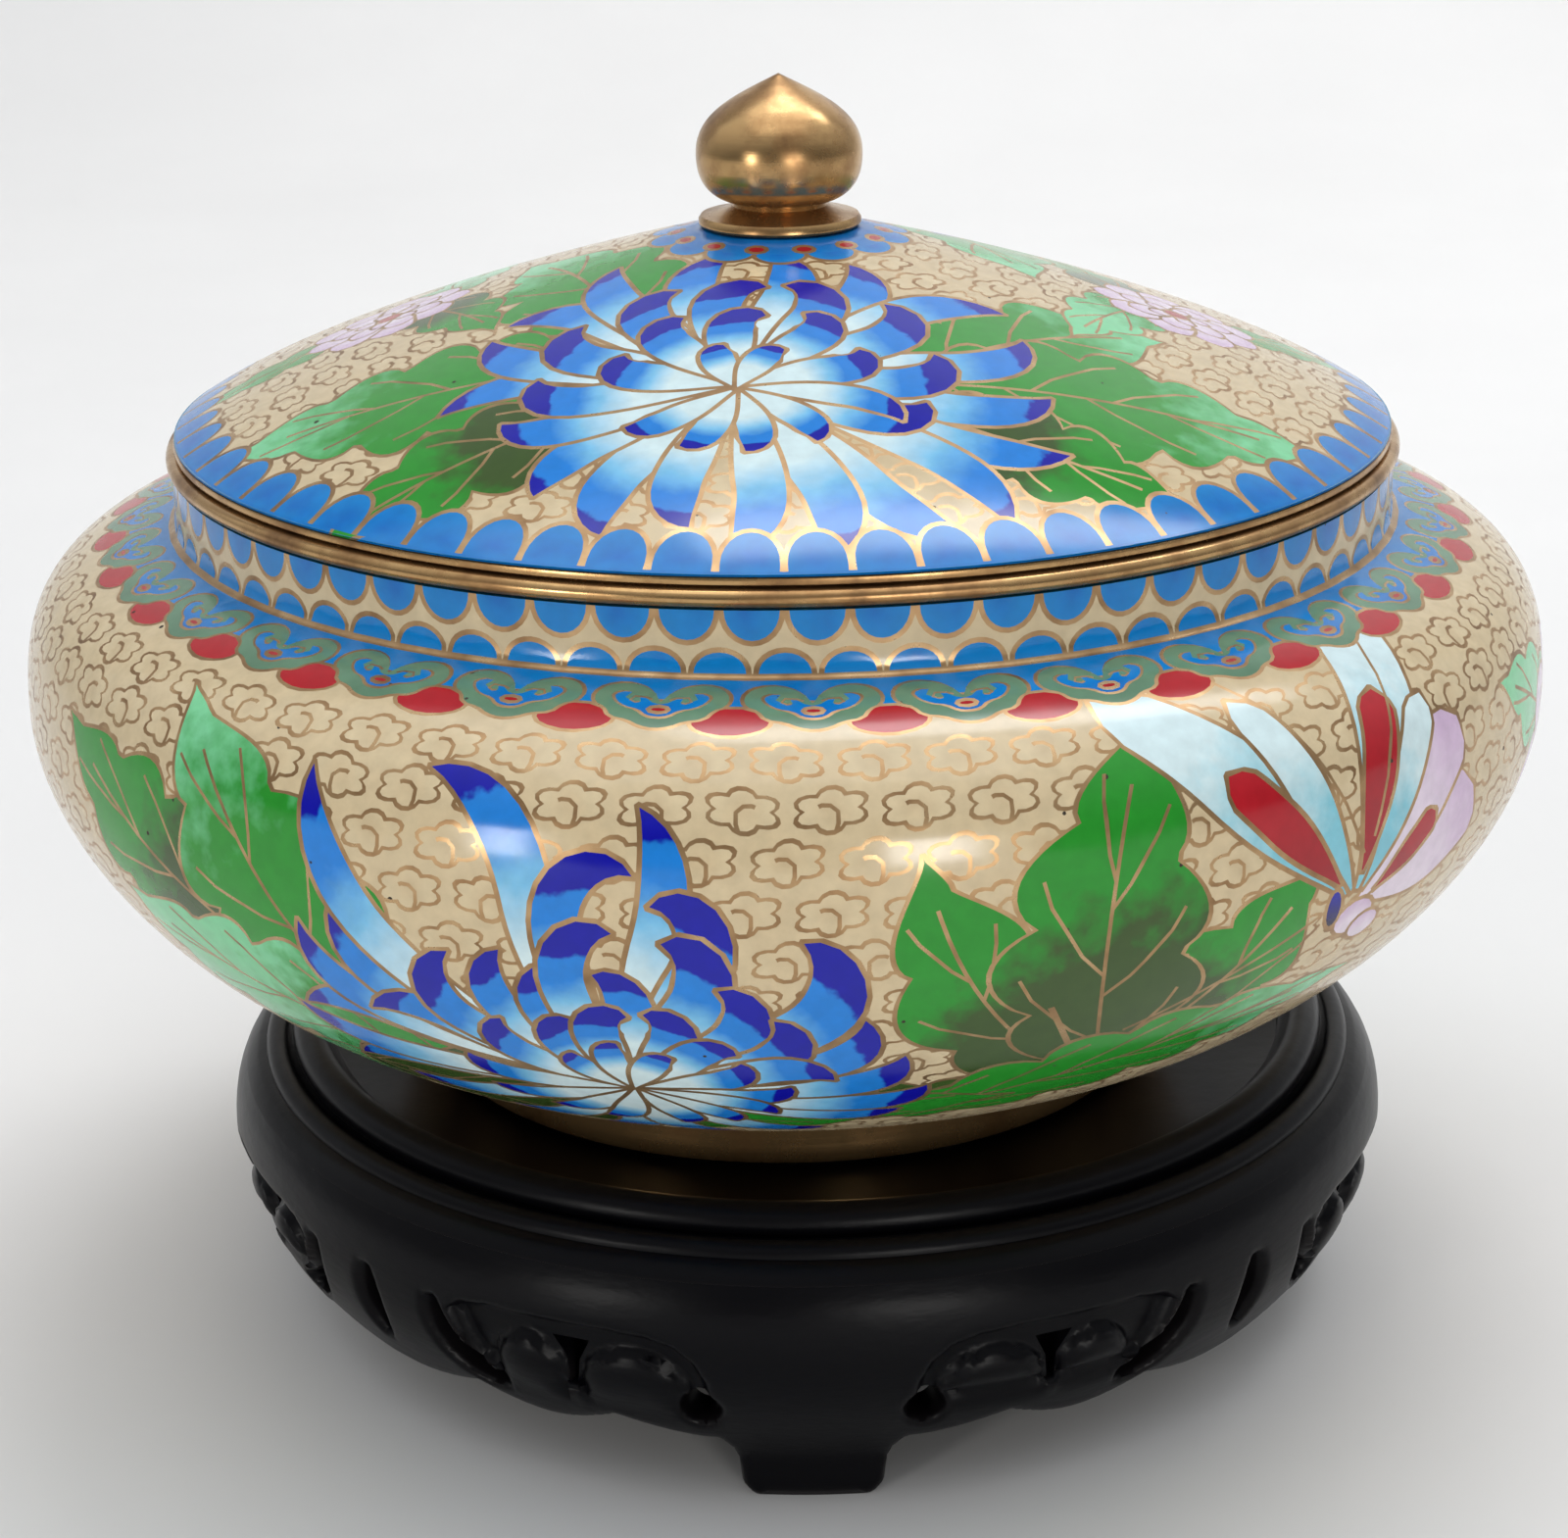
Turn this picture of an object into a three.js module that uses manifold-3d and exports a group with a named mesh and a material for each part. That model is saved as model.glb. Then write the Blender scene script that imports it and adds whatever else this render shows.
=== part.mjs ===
// A squat lidded bowl of enamelled copper with brass fittings, standing on a carved wooden stand.
// Millimetres, +Z up. The origin is on the floor, under the bowl's axis. The front faces -Y.
import * as THREE from "three";
import { mergeVertices } from "three/addons/utils/BufferGeometryUtils.js";
import Module from "manifold-3d";

const wasm = await Module();
wasm.setup();

// Clearance between two pieces that touch
const TOUCH_GAP = 0.3;

// Sides of the turned forms
const BOWL_SIDES = 36;
const STAND_SIDES = 36;
const KNOB_SIDES = 16;

// Stand: turned top with a shallow seat, bulging pierced apron, four low feet.
// A curve is four control points of [radius, height].
const STAND_SHIFT_X = 2.8;
const FOOT_COUNT = 4;
const FOOT_RADIUS = 85;
const FOOT_EDGE = 0.8;
const APRON_RADIUS = 96;
const APRON_WALL = 9;
const BOARD_UNDERSIDE = 33;
const SEAT_HEIGHT = 42.5;
const SEAT_RADIUS = 79;
const UPPER_BEAD = { radius: 83, height: 45.2, size: 2.9 };
const LOWER_BEAD = { radius: 88.3, height: 42.6, size: 2.1 };
const APRON_CURVE = [[85.4, 7], [88, 12.5], [96, 20], [96, 31]];
const SHOULDER_CURVE = [[96, 31], [96, 36], [94.6, 40], [91.5, 42.3]];
const INNER_LINE = [[APRON_RADIUS - APRON_WALL - 2, BOARD_UNDERSIDE], [84, 18], [76, 0]];

// Carving of the apron: [degrees from the middle of a foot, height above the floor]
const PANEL_ANGLE = 360 / FOOT_COUNT;
const MM_PER_DEGREE = (APRON_RADIUS * Math.PI) / 180;
const CUT_THROUGH_RADIUS = 60;
const CUT_OUTER_RADIUS = 140;
const FOOT_FLANK = [[6.4, -5], [6.4, 0], [7.3, 2], [7.6, 6], [9.2, 10.5]];
const EDGE_LOBE_ENDS = [9.2, 19, 34, 56];
const EDGE_LOBE_STEPS = 3;
const CUSP_HEIGHT = 14.2;
const EDGE_LOBE_DEPTH = 3.4;
const HOLE = { angle: 10.4, height: 18.5, size: 3, sides: 8 };
const CURVED_SLOT = { middle: [[30, 17.2], [35.6, 18], [36.6, 30]], width: 4.6 };
const MIDDLE_SLOT = { middle: [[45, 18], [45, 24], [45, 30.5]], width: 4.4 };
const SLOT_STEPS = 3;
const SLOT_END_SHARE = 0.06;
const GROUND_RADIUS = 92.8;
const LOBE_BASE = 20.5;
const LOBE_TOP = 27.2;
const OUTER_LOBE = { from: 11.4, to: 21.7 };
const INNER_LOBE = { from: 23.2, to: 30.4 };
const CROWN_STEPS = 3;
const GROUND_LEFT_EDGE = [[9.4, 20.5], [10.2, 26.5], [13.4, 29.9], [17.4, 31.4]];
const GROUND_RIGHT_EDGE = [[30.4, 31.4], [34.4, 29.4], [32.4, 20.5]];
const LOBE_NOTCH = [[22.1, 19.9], [22.8, 19.9], [23.05, 24.1], [24.55, 28.2], [20.35, 28.2], [21.85, 24.1]];

// Bowl: foot ring, wide body, short neck and rim bead
const FOOT_RING_RADIUS = 60;
const FOOT_RING_WALL = 3.5;
const FOOT_RING_BOTTOM = SEAT_HEIGHT + TOUCH_GAP;
const BOWL_BOTTOM = 52;
const BOWL_BOTTOM_RADIUS = 61;
const BOWL_RADIUS = 120.5;
const BOWL_WIDEST_HEIGHT = 106.3;
const BELLY_CONTROLS = { low: [95, 58.8], high: 85.8 };
const SHOULDER_CONTROLS = { low: 120.3, high: [118, 128.3] };
const NECK_RADIUS = 96;
const NECK_FILLET = 0.8;
const NECK_BOTTOM = 132.6;
const NECK_TOP = 141.9;
const WALL = 3.2;
const BOWL_STEPS = 7;
const BOWL_INSIDE_STEPS = 5;
const RIM_BEAD_TOP = 144.7;
const RIM_BEAD_OUT = 0.9;
const RIM_BEAD_CHAMFER = 0.7;

// Lid: low dome, flat rim with a flange inside the mouth, knob on a disc
const LID_RIM_BOTTOM = RIM_BEAD_TOP + TOUCH_GAP;
const LID_RIM_HEIGHT = 1.3;
const LID_RADIUS = 95.6;
const LID_SETBACK = 0.2;
const LID_CONTROLS = { low: [80, 156.5], high: [42, 168.3] };
const LID_TOP = 175.6;
const LID_TOP_RADIUS = 13;
const LID_WALL = 2.8;
const LID_EDGE_WALL = 4.5;
const LID_STEPS = 7;
const LID_INSIDE_STEPS = 4;
const FLANGE_WALL = 2;
const FLANGE_DEPTH = 6;
const FLANGE_PLAY = 0.8;
const DISC_BOTTOM = LID_TOP + TOUCH_GAP;
const DISC_LINE = [[12.2, 0], [12.7, 0.8], [12.1, 1.6], [9.2, 2.3], [7.6, 2.8], [7.1, 3.5]];
const KNOB_LOWER_CURVE = [[7.1, 179.4], [11.5, 180.4], [12.95, 183], [12.95, 187]];
const KNOB_UPPER_CURVE = [[12.95, 187], [12.95, 193], [7, 195.6], [0, 199.1]];

const point = (radius, height) => new THREE.Vector2(radius, height);
const points = (pairs) => pairs.map(([radius, height]) => point(radius, height));

// Points along a cubic curve, without its first one, so that stretches join end to end
function curve(steps, pairs) {
  return new THREE.CubicBezierCurve(...points(pairs)).getPoints(steps).slice(1);
}

// Points along a round bead, turning through the given angles in degrees
function bead({ radius, height, size }, endAngle, steps) {
  return Array.from({ length: steps + 1 }, (_, i) => {
    const angle = THREE.MathUtils.degToRad((endAngle * i) / steps);
    return point(radius + size * Math.cos(angle), height + size * Math.sin(angle));
  });
}

// A profile turned round the Z axis
function turned(profile, sides) {
  return new THREE.LatheGeometry(profile, sides).rotateX(Math.PI / 2);
}

// A ring whose section is a closed outline, listed anticlockwise
function ring(pairs) {
  const outline = points(pairs);
  return turned([...outline, outline[0]], BOWL_SIDES);
}

function solidOf(geometry) {
  const bare = geometry.clone();
  bare.deleteAttribute("normal");
  bare.deleteAttribute("uv");
  const merged = mergeVertices(bare, 1e-3);
  return new wasm.Manifold(
    new wasm.Mesh({
      numProp: 3,
      vertProperties: merged.attributes.position.array,
      triVerts: new Uint32Array(merged.index.array),
    }),
  );
}

function geometryOf(solid) {
  const mesh = solid.getMesh();
  const geometry = new THREE.BufferGeometry();
  geometry.setAttribute("position", new THREE.BufferAttribute(mesh.vertProperties, 3));
  geometry.setIndex(new THREE.BufferAttribute(mesh.triVerts, 1));
  return geometry.toNonIndexed();
}

// A cutter through the apron: an outline of degrees and heights, spread between two radii
function radialCutter(outline, innerRadius) {
  const flat = outline.map(([angle, height]) => point(THREE.MathUtils.degToRad(angle), height));
  const geometry = new THREE.ExtrudeGeometry(new THREE.Shape(flat), { depth: 1, bevelEnabled: false });
  const place = geometry.attributes.position;
  for (let i = 0; i < place.count; i++) {
    const angle = place.getX(i);
    const radius = innerRadius + (CUT_OUTER_RADIUS - innerRadius) * place.getZ(i);
    place.setXYZ(i, radius * Math.sin(angle), -radius * Math.cos(angle), place.getY(i));
  }
  return solidOf(geometry);
}

const mirrored = (outline) => outline.map(([angle, height]) => [PANEL_ANGLE - angle, height]).reverse();

// Everything below the lobed lower edge between two feet, with the feet's hollowed flanks.
// The first lobe springs from the foot, so it is half an arch; the others hang between two cusps.
function lowerEdgeCut() {
  const edge = EDGE_LOBE_ENDS.slice(1).flatMap((to, lobe) => {
    const from = EDGE_LOBE_ENDS[lobe];
    return Array.from({ length: EDGE_LOBE_STEPS }, (_, i) => {
      const share = (i + 1) / EDGE_LOBE_STEPS;
      const arch = lobe === 0 ? Math.cos((Math.PI / 2) * share) : Math.sin(Math.PI * share);
      return [from + (to - from) * share, CUSP_HEIGHT - EDGE_LOBE_DEPTH * arch];
    });
  });
  const middle = PANEL_ANGLE / 2;
  const half = edge.filter(([angle]) => angle < middle - 0.01);
  const left = [...FOOT_FLANK, ...half, [middle, CUSP_HEIGHT - EDGE_LOBE_DEPTH]];
  const right = mirrored(left).slice(1);
  return [...left, ...right].reverse();
}

function roundHole({ angle, height, size, sides }) {
  return Array.from({ length: sides }, (_, i) => {
    const turn = (2 * Math.PI * i) / sides;
    return [angle + (size * Math.cos(turn)) / MM_PER_DEGREE, height + size * Math.sin(turn)];
  });
}

// A slot along a curved middle line, narrowing to rounded ends
function curvedSlot({ middle, width }) {
  const line = new THREE.QuadraticBezierCurve(...middle.map(([a, h]) => point(a * MM_PER_DEGREE, h)));
  const side = (sign) =>
    Array.from({ length: SLOT_STEPS + 1 }, (_, i) => {
      const share = i / SLOT_STEPS;
      const at = line.getPoint(share);
      const along = line.getTangent(share);
      const fullness = Math.sin(Math.PI * (SLOT_END_SHARE + (1 - 2 * SLOT_END_SHARE) * share));
      const half = (width / 2) * Math.sqrt(fullness);
      return [(at.x - sign * along.y * half) / MM_PER_DEGREE, at.y + sign * along.x * half];
    });
  return [...side(-1), ...side(1).reverse()];
}

// The rounded top of a raised lobe, from its right end to its left
function crown({ from, to }) {
  const middle = (from + to) / 2;
  const half = (to - from) / 2;
  return Array.from({ length: CROWN_STEPS + 1 }, (_, i) => {
    const turn = (Math.PI * i) / CROWN_STEPS;
    return [middle + half * Math.cos(turn), LOBE_BASE + (LOBE_TOP - LOBE_BASE) * Math.sin(turn)];
  });
}

function standGeometry() {
  const profile = [
    point(0, BOARD_UNDERSIDE),
    ...points(INNER_LINE),
    point(FOOT_RADIUS - FOOT_EDGE, 0),
    point(FOOT_RADIUS, FOOT_EDGE),
    point(...APRON_CURVE[0]),
    ...curve(4, APRON_CURVE),
    ...curve(3, SHOULDER_CURVE),
    ...bead(LOWER_BEAD, 140, 2),
    ...bead(UPPER_BEAD, 150, 3),
    point(SEAT_RADIUS, UPPER_BEAD.height + 1),
    point(SEAT_RADIUS, SEAT_HEIGHT),
    point(0, SEAT_HEIGHT),
  ];
  let stand = solidOf(turned(profile, STAND_SIDES));
  const openings = [roundHole(HOLE), LOBE_NOTCH, curvedSlot(CURVED_SLOT)];
  const lobeGround = [
    ...[...GROUND_LEFT_EDGE, ...GROUND_RIGHT_EDGE].reverse(),
    ...crown(OUTER_LOBE).reverse(),
    ...crown(INNER_LOBE).reverse(),
  ];
  const cuts = [
    ...openings.flatMap((outline) => [
      [outline, CUT_THROUGH_RADIUS],
      [mirrored(outline), CUT_THROUGH_RADIUS],
    ]),
    [curvedSlot(MIDDLE_SLOT), CUT_THROUGH_RADIUS],
    [lobeGround, GROUND_RADIUS],
    [mirrored(lobeGround), GROUND_RADIUS],
    [lowerEdgeCut(), CUT_THROUGH_RADIUS],
  ];
  for (let foot = 0; foot < FOOT_COUNT; foot++) {
    for (const [outline, innerRadius] of cuts) {
      const placed = outline.map(([angle, height]) => [angle + foot * PANEL_ANGLE, height]);
      stand = stand.subtract(radialCutter(placed, innerRadius));
    }
  }
  return geometryOf(stand);
}

// The bowl's outer line from the foot ring to the top of the neck, moved inwards by a wall
function bowlLine(inset, steps) {
  const bottom = [BOWL_BOTTOM_RADIUS - inset, BOWL_BOTTOM + inset];
  const widest = [BOWL_RADIUS - inset, BOWL_WIDEST_HEIGHT];
  const { low: bellyLow, high: bellyHigh } = BELLY_CONTROLS;
  const { low: shoulderLow, high: shoulderHigh } = SHOULDER_CONTROLS;
  return [
    point(...bottom),
    ...curve(steps, [
      bottom,
      [bellyLow[0] - inset, bellyLow[1] + inset],
      [BOWL_RADIUS - inset, bellyHigh],
      widest,
    ]),
    ...curve(steps - 2, [
      widest,
      [BOWL_RADIUS - inset, shoulderLow - inset],
      [shoulderHigh[0] - inset, shoulderHigh[1] - inset],
      [NECK_RADIUS + NECK_FILLET - inset, NECK_BOTTOM - inset / 2],
    ]),
    point(NECK_RADIUS - inset, NECK_BOTTOM + 1.5 * NECK_FILLET),
    point(NECK_RADIUS - inset, NECK_TOP),
  ];
}

function bowlGeometry() {
  const outside = bowlLine(0, BOWL_STEPS);
  const inside = bowlLine(WALL, BOWL_INSIDE_STEPS).reverse();
  const profile = [point(0, BOWL_BOTTOM), ...outside, ...inside, point(0, BOWL_BOTTOM + WALL)];
  return turned(profile, BOWL_SIDES);
}

function footRingGeometry() {
  const top = BOWL_BOTTOM - TOUCH_GAP;
  const inner = FOOT_RING_RADIUS - FOOT_RING_WALL;
  return ring([
    [inner, FOOT_RING_BOTTOM],
    [FOOT_RING_RADIUS - 0.5, FOOT_RING_BOTTOM],
    [FOOT_RING_RADIUS, FOOT_RING_BOTTOM + 0.8],
    [FOOT_RING_RADIUS - 0.6, top],
    [inner, top],
  ]);
}

function rimBeadGeometry() {
  const inner = NECK_RADIUS - WALL;
  const outer = NECK_RADIUS + RIM_BEAD_OUT;
  const bottom = NECK_TOP + TOUCH_GAP;
  return ring([
    [inner, bottom],
    [outer - RIM_BEAD_CHAMFER, bottom],
    [outer, (bottom + RIM_BEAD_TOP) / 2],
    [outer - RIM_BEAD_CHAMFER, RIM_BEAD_TOP - 0.1],
    [outer - 1.2, RIM_BEAD_TOP],
    [inner, RIM_BEAD_TOP],
  ]);
}

function lidRimGeometry() {
  const flangeOuter = NECK_RADIUS - WALL - FLANGE_PLAY;
  const flangeInner = flangeOuter - FLANGE_WALL;
  const top = LID_RIM_BOTTOM + LID_RIM_HEIGHT;
  return ring([
    [flangeInner, LID_RIM_BOTTOM - FLANGE_DEPTH],
    [flangeOuter, LID_RIM_BOTTOM - FLANGE_DEPTH],
    [flangeOuter, LID_RIM_BOTTOM],
    [LID_RADIUS, LID_RIM_BOTTOM],
    [LID_RADIUS, top],
    [flangeInner, top],
  ]);
}

// The lid's outer line from its rim to the flat under the knob, moved inwards by a wall
function lidLine(inset, edgeInset, steps) {
  const edge = [LID_RADIUS - LID_SETBACK - edgeInset, LID_RIM_BOTTOM + LID_RIM_HEIGHT + TOUCH_GAP];
  const { low, high } = LID_CONTROLS;
  return [
    point(...edge),
    ...curve(steps, [
      edge,
      [low[0] - inset, low[1] - inset],
      [high[0], high[1] - inset],
      [LID_TOP_RADIUS, LID_TOP - inset],
    ]),
    point(0, LID_TOP - inset),
  ];
}

function lidGeometry() {
  const outside = lidLine(0, 0, LID_STEPS);
  const inside = lidLine(LID_WALL, LID_EDGE_WALL, LID_INSIDE_STEPS).reverse();
  return turned([...inside, ...outside], BOWL_SIDES);
}

function knobGeometry() {
  const profile = [
    point(0, DISC_BOTTOM),
    ...points(DISC_LINE.map(([radius, rise]) => [radius, DISC_BOTTOM + rise])),
    ...curve(4, KNOB_LOWER_CURVE),
    ...curve(6, KNOB_UPPER_CURVE),
  ];
  return turned(profile, KNOB_SIDES);
}

function finish(color, roughness, metalness) {
  return new THREE.MeshStandardMaterial({ color, roughness, metalness });
}

const lacqueredWood = () => finish(0x17161a, 0.32, 0);
const agedBrass = () => finish(0xa87840, 0.34, 1);
const enamel = () => finish(0xd8c79a, 0.18, 0);

function piece(name, geometry, material) {
  const mesh = new THREE.Mesh(geometry, material);
  mesh.name = name;
  return mesh;
}

const vessel = new THREE.Group();
vessel.add(
  piece("bowl_foot_ring", footRingGeometry(), agedBrass()),
  piece("bowl", bowlGeometry(), enamel()),
  piece("bowl_rim", rimBeadGeometry(), agedBrass()),
);

const cover = new THREE.Group();
cover.add(
  piece("lid_rim", lidRimGeometry(), agedBrass()),
  piece("lid", lidGeometry(), enamel()),
  piece("knob", knobGeometry(), agedBrass()),
);

const stand = piece("stand", standGeometry(), lacqueredWood());
stand.position.x = STAND_SHIFT_X;

const lidded_bowl_on_stand = new THREE.Group();
lidded_bowl_on_stand.add(stand, vessel, cover);

export default lidded_bowl_on_stand;
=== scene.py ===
import math

import bpy
import numpy as np
from mathutils import Matrix
from mathutils.geometry import delaunay_2d_cdt


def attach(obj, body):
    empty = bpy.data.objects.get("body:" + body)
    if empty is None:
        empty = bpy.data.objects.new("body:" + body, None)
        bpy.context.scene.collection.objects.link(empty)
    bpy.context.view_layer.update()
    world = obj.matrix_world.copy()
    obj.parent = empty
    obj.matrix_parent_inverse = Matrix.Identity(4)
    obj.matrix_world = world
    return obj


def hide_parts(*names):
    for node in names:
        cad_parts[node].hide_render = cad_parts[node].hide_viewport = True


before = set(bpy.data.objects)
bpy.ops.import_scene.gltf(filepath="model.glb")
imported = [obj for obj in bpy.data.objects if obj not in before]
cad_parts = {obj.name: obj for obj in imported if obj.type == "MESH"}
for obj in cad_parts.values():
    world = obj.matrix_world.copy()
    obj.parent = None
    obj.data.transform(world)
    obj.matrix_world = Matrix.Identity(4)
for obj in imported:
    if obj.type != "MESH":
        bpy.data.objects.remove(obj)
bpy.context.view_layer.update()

# Camera: at the photograph's place, a little above the lid, with a long lens.
# It stands about half a metre off and looks down on the bowl by some twenty degrees.
CAMERA_PLACE = (0.0, -0.5228, 0.2710)
CAMERA_TURN = (70.4714, 0.6531, -0.1878)
CAMERA_LENS = 77.19

camera_data = bpy.data.cameras.new("camera")
camera_data.lens = CAMERA_LENS
camera_data.sensor_width = 36.0
camera_data.clip_start = 0.01
camera = bpy.data.objects.new("camera", camera_data)
camera.location = CAMERA_PLACE
camera.rotation_euler = [math.radians(turn) for turn in CAMERA_TURN]
bpy.context.scene.collection.objects.link(camera)
bpy.context.scene.camera = camera

# Floor and wall: one pale sweep of plain matt board, bent up behind the bowl in a smooth curve.
# Soft light comes from two tall windows in front, from the ceiling, and from the lit wall behind.
SWEEP_HALF_WIDTH = 2.2
SWEEP_FRONT = -1.6
WALL_BACK = 1.5
WALL_TOP = 2.6
SWEEP_CURVE = 0.5
CURVE_STEPS = 12
SWEEP_COLOUR = (0.80, 0.79, 0.775)
SWEEP_SHADE = 0.97
ROOM_COLOUR = (0.93, 0.96, 1.0, 1.0)
ROOM_DARK = 0.06
ROOM_BRIGHT = 0.9
BRIGHT_SIDE = (0.0, 0.45, 0.9)
WINDOW_COLOUR = (1.0, 0.98, 0.95)
CEILING_COLOUR = (0.97, 0.98, 1.0)


# Sets a node's inputs by order or by name, each to a value or to the output that drives it
def feed(target, *ordered, **named):
    for key, value in [*named.items(), *enumerate(ordered)]:
        socket = key.replace("_", " ") if isinstance(key, str) else key
        if isinstance(key, str) and socket not in target.inputs:
            setattr(target, key, value)
        elif isinstance(value, bpy.types.NodeSocket):
            target.id_data.links.new(value, target.inputs[socket])
        else:
            target.inputs[socket].default_value = value


# Adds a node of one kind, feeds it, and gives its output of that name
def node(tree, kind, output, *ordered, **named):
    made = tree.nodes.new("ShaderNode" + kind)
    made.location.x = 200 * (len(tree.nodes) - 12)
    feed(made, *ordered, **named)
    return made.outputs[output]


def ramp(tree, driver, stops):
    output = node(tree, "ValToRGB", "Color", driver)
    elements = output.node.color_ramp.elements
    while len(elements) < len(stops):
        elements.new(0.5)
    for element, (place, colour) in zip(elements, stops):
        element.position = place
        element.color = (*colour, 1.0)
    return output


def new_material(name):
    material = bpy.data.materials.new(name)
    material.use_nodes = True
    return material, material.node_tree, material.node_tree.nodes["Principled BSDF"]


def lit(colour, share):
    return tuple(share * value for value in colour)


def new_object(name, points, edges, faces):
    mesh = bpy.data.meshes.new(name)
    mesh.from_pydata(points, edges, faces)
    piece = bpy.data.objects.new(name, mesh)
    bpy.context.scene.collection.objects.link(piece)
    return piece


def select_only(piece):
    bpy.ops.object.select_all(action="DESELECT")
    piece.select_set(True)
    bpy.context.view_layer.objects.active = piece


sweep_line = [(SWEEP_FRONT, 0.0)]
for step in range(CURVE_STEPS + 1):
    turn = math.radians(90 * step / CURVE_STEPS)
    y = WALL_BACK - SWEEP_CURVE + SWEEP_CURVE * math.sin(turn)
    sweep_line.append((y, SWEEP_CURVE - SWEEP_CURVE * math.cos(turn)))
sweep_line.append((WALL_BACK, WALL_TOP))
sweep_points = [(side * SWEEP_HALF_WIDTH, y, z) for y, z in sweep_line for side in (-1, 1)]
sweep_faces = [(2 * i, 2 * i + 1, 2 * i + 3, 2 * i + 2) for i in range(len(sweep_line) - 1)]
sweep = new_object("sweep", sweep_points, [], sweep_faces)
for polygon in sweep.data.polygons:
    polygon.use_smooth = True
sweep_material, tree, shader = new_material("sweep_board")
tone = node(tree, "TexNoise", "Fac", node(tree, "TexCoord", "Object"), Scale=7.0, Detail=3.0)
shades = [(0.3, lit(SWEEP_COLOUR, SWEEP_SHADE)), (0.7, SWEEP_COLOUR)]
feed(shader, Base_Color=ramp(tree, tone, shades), Roughness=0.75)
sweep.data.materials.append(sweep_material)

# The room is darker low down in front than above and behind
world = bpy.data.worlds.new("room")
world.use_nodes = True
tree = world.node_tree
place = node(tree, "TexCoord", "Generated")
towards = node(tree, "VectorMath", "Value", place, BRIGHT_SIDE, operation="DOT_PRODUCT")
level = node(tree, "MapRange", "Result", towards, -0.15, 0.75, ROOM_DARK, ROOM_BRIGHT)
feed(tree.nodes["Background"], Color=ROOM_COLOUR, Strength=level)
bpy.context.scene.world = world
bpy.context.scene.view_settings.view_transform = "Standard"


def window_light(name, place, aim, width, height, power, colour=WINDOW_COLOUR):
    data = bpy.data.lights.new(name, "AREA")
    data.shape = "RECTANGLE"
    data.size = width
    data.size_y = height
    data.energy = power
    data.color = colour
    light = bpy.data.objects.new(name, data)
    light.location = place
    bpy.context.scene.collection.objects.link(light)
    bpy.context.view_layer.update()
    away = light.location - type(light.location)(aim)
    light.rotation_euler = away.to_track_quat("Z", "Y").to_euler()


window_light("window_left", (-0.98, -1.24, 0.24), (0, 0, 0.1), 0.2, 0.42, 4.5)
window_light("window_right", (0.52, -1.5, 0.22), (0, 0, 0.1), 0.34, 0.38, 6.0)
window_light("ceiling", (0.0, 0.0, 1.7), (0, 0, 0), 1.5, 1.5, 7.5, CEILING_COLOUR)
window_light("wall_wash", (0.5, 0.6, 1.6), (0.3, 1.5, 0.2), 1.4, 0.5, 14.0, CEILING_COLOUR)

# Stand: turned and carved hardwood under satin black lacquer, worn a little brown on its edges.
# The top is one turning with two beads and a shallow seat; the apron is pierced and carved.
STAND_SHIFT_X = 2.8
SEAT_RADIUS = 79.0
SEAT_HEIGHT = 42.5
APRON_TOP = 40.0
PANEL = 90.0
MM_PER_DEGREE = 96.0 * math.pi / 180
CUT_ROUNDING = 1.7
GROUND_DEPTH = 3.0
GROUND_LIP = 1.5
GROUND_SLOPE = 1.1
APRON_GRID = 1.5
APRON_FINE_GRID = 0.65
FINE_REACH = 2.3
EDGE_CLEAR = 0.3
SEAM_CLEAR = 0.4
TOP_FADE = 2.0
# The two carved lobes beside a foot, in degrees from its middle, and their heights
LOBES = ((11.4, 21.7), (23.2, 30.4))
LOBE_FOOT = 15.0
LOBE_BASE = 20.5
LOBE_RISE = 6.7
LOBE_ROUNDING = 5.5
LOBE_DROP = 2.4
LOBE_FADE = (15.5, 4.0)
CROWN_POINTS = 14
EDGE_CUSP = 14.2
SWAG_DROP = 3.4
LACQUER = (0.0014, 0.0013, 0.0022)
LACQUER_WORN = (0.009, 0.007, 0.007)


def cubic(a, b, c, d, steps):
    share = np.linspace(0, 1, steps + 1)[:, None]
    rest = 1 - share
    a, b, c, d = (np.array(p, float) for p in (a, b, c, d))
    return rest**3 * a + 3 * rest**2 * share * b + 3 * rest * share**2 * c + share**3 * d


def quadratic(a, b, c, share):
    return (1 - share) ** 2 * a + 2 * (1 - share) * share * b + share**2 * c


def arc(radius, height, size, start, end, steps):
    turns = np.radians(np.linspace(start, end, steps + 1))
    return np.stack([radius + size * np.cos(turns), height + size * np.sin(turns)], 1)


# A profile of (radius, height) in millimetres, spun round the Z axis
def turned(name, profile, steps, material, smooth_angle=40, shift_x=0.0):
    points = [(r / 1000, 0.0, h / 1000) for r, h in profile]
    piece = new_object(name, points, [(i, i + 1) for i in range(len(points) - 1)], [])
    select_only(piece)
    bpy.ops.object.mode_set(mode="EDIT")
    bpy.ops.mesh.select_all(action="SELECT")
    bpy.ops.mesh.spin(steps=steps, angle=2 * math.pi, center=(0, 0, 0), axis=(0, 0, 1))
    bpy.ops.mesh.select_all(action="SELECT")
    bpy.ops.mesh.remove_doubles(threshold=1e-6)
    bpy.ops.mesh.normals_make_consistent(inside=False)
    bpy.ops.object.mode_set(mode="OBJECT")
    piece.data.transform(Matrix.Translation((shift_x / 1000, 0, 0)))
    bpy.ops.object.shade_smooth_by_angle(angle=math.radians(smooth_angle))
    piece.data.materials.append(material)
    return piece


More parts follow.
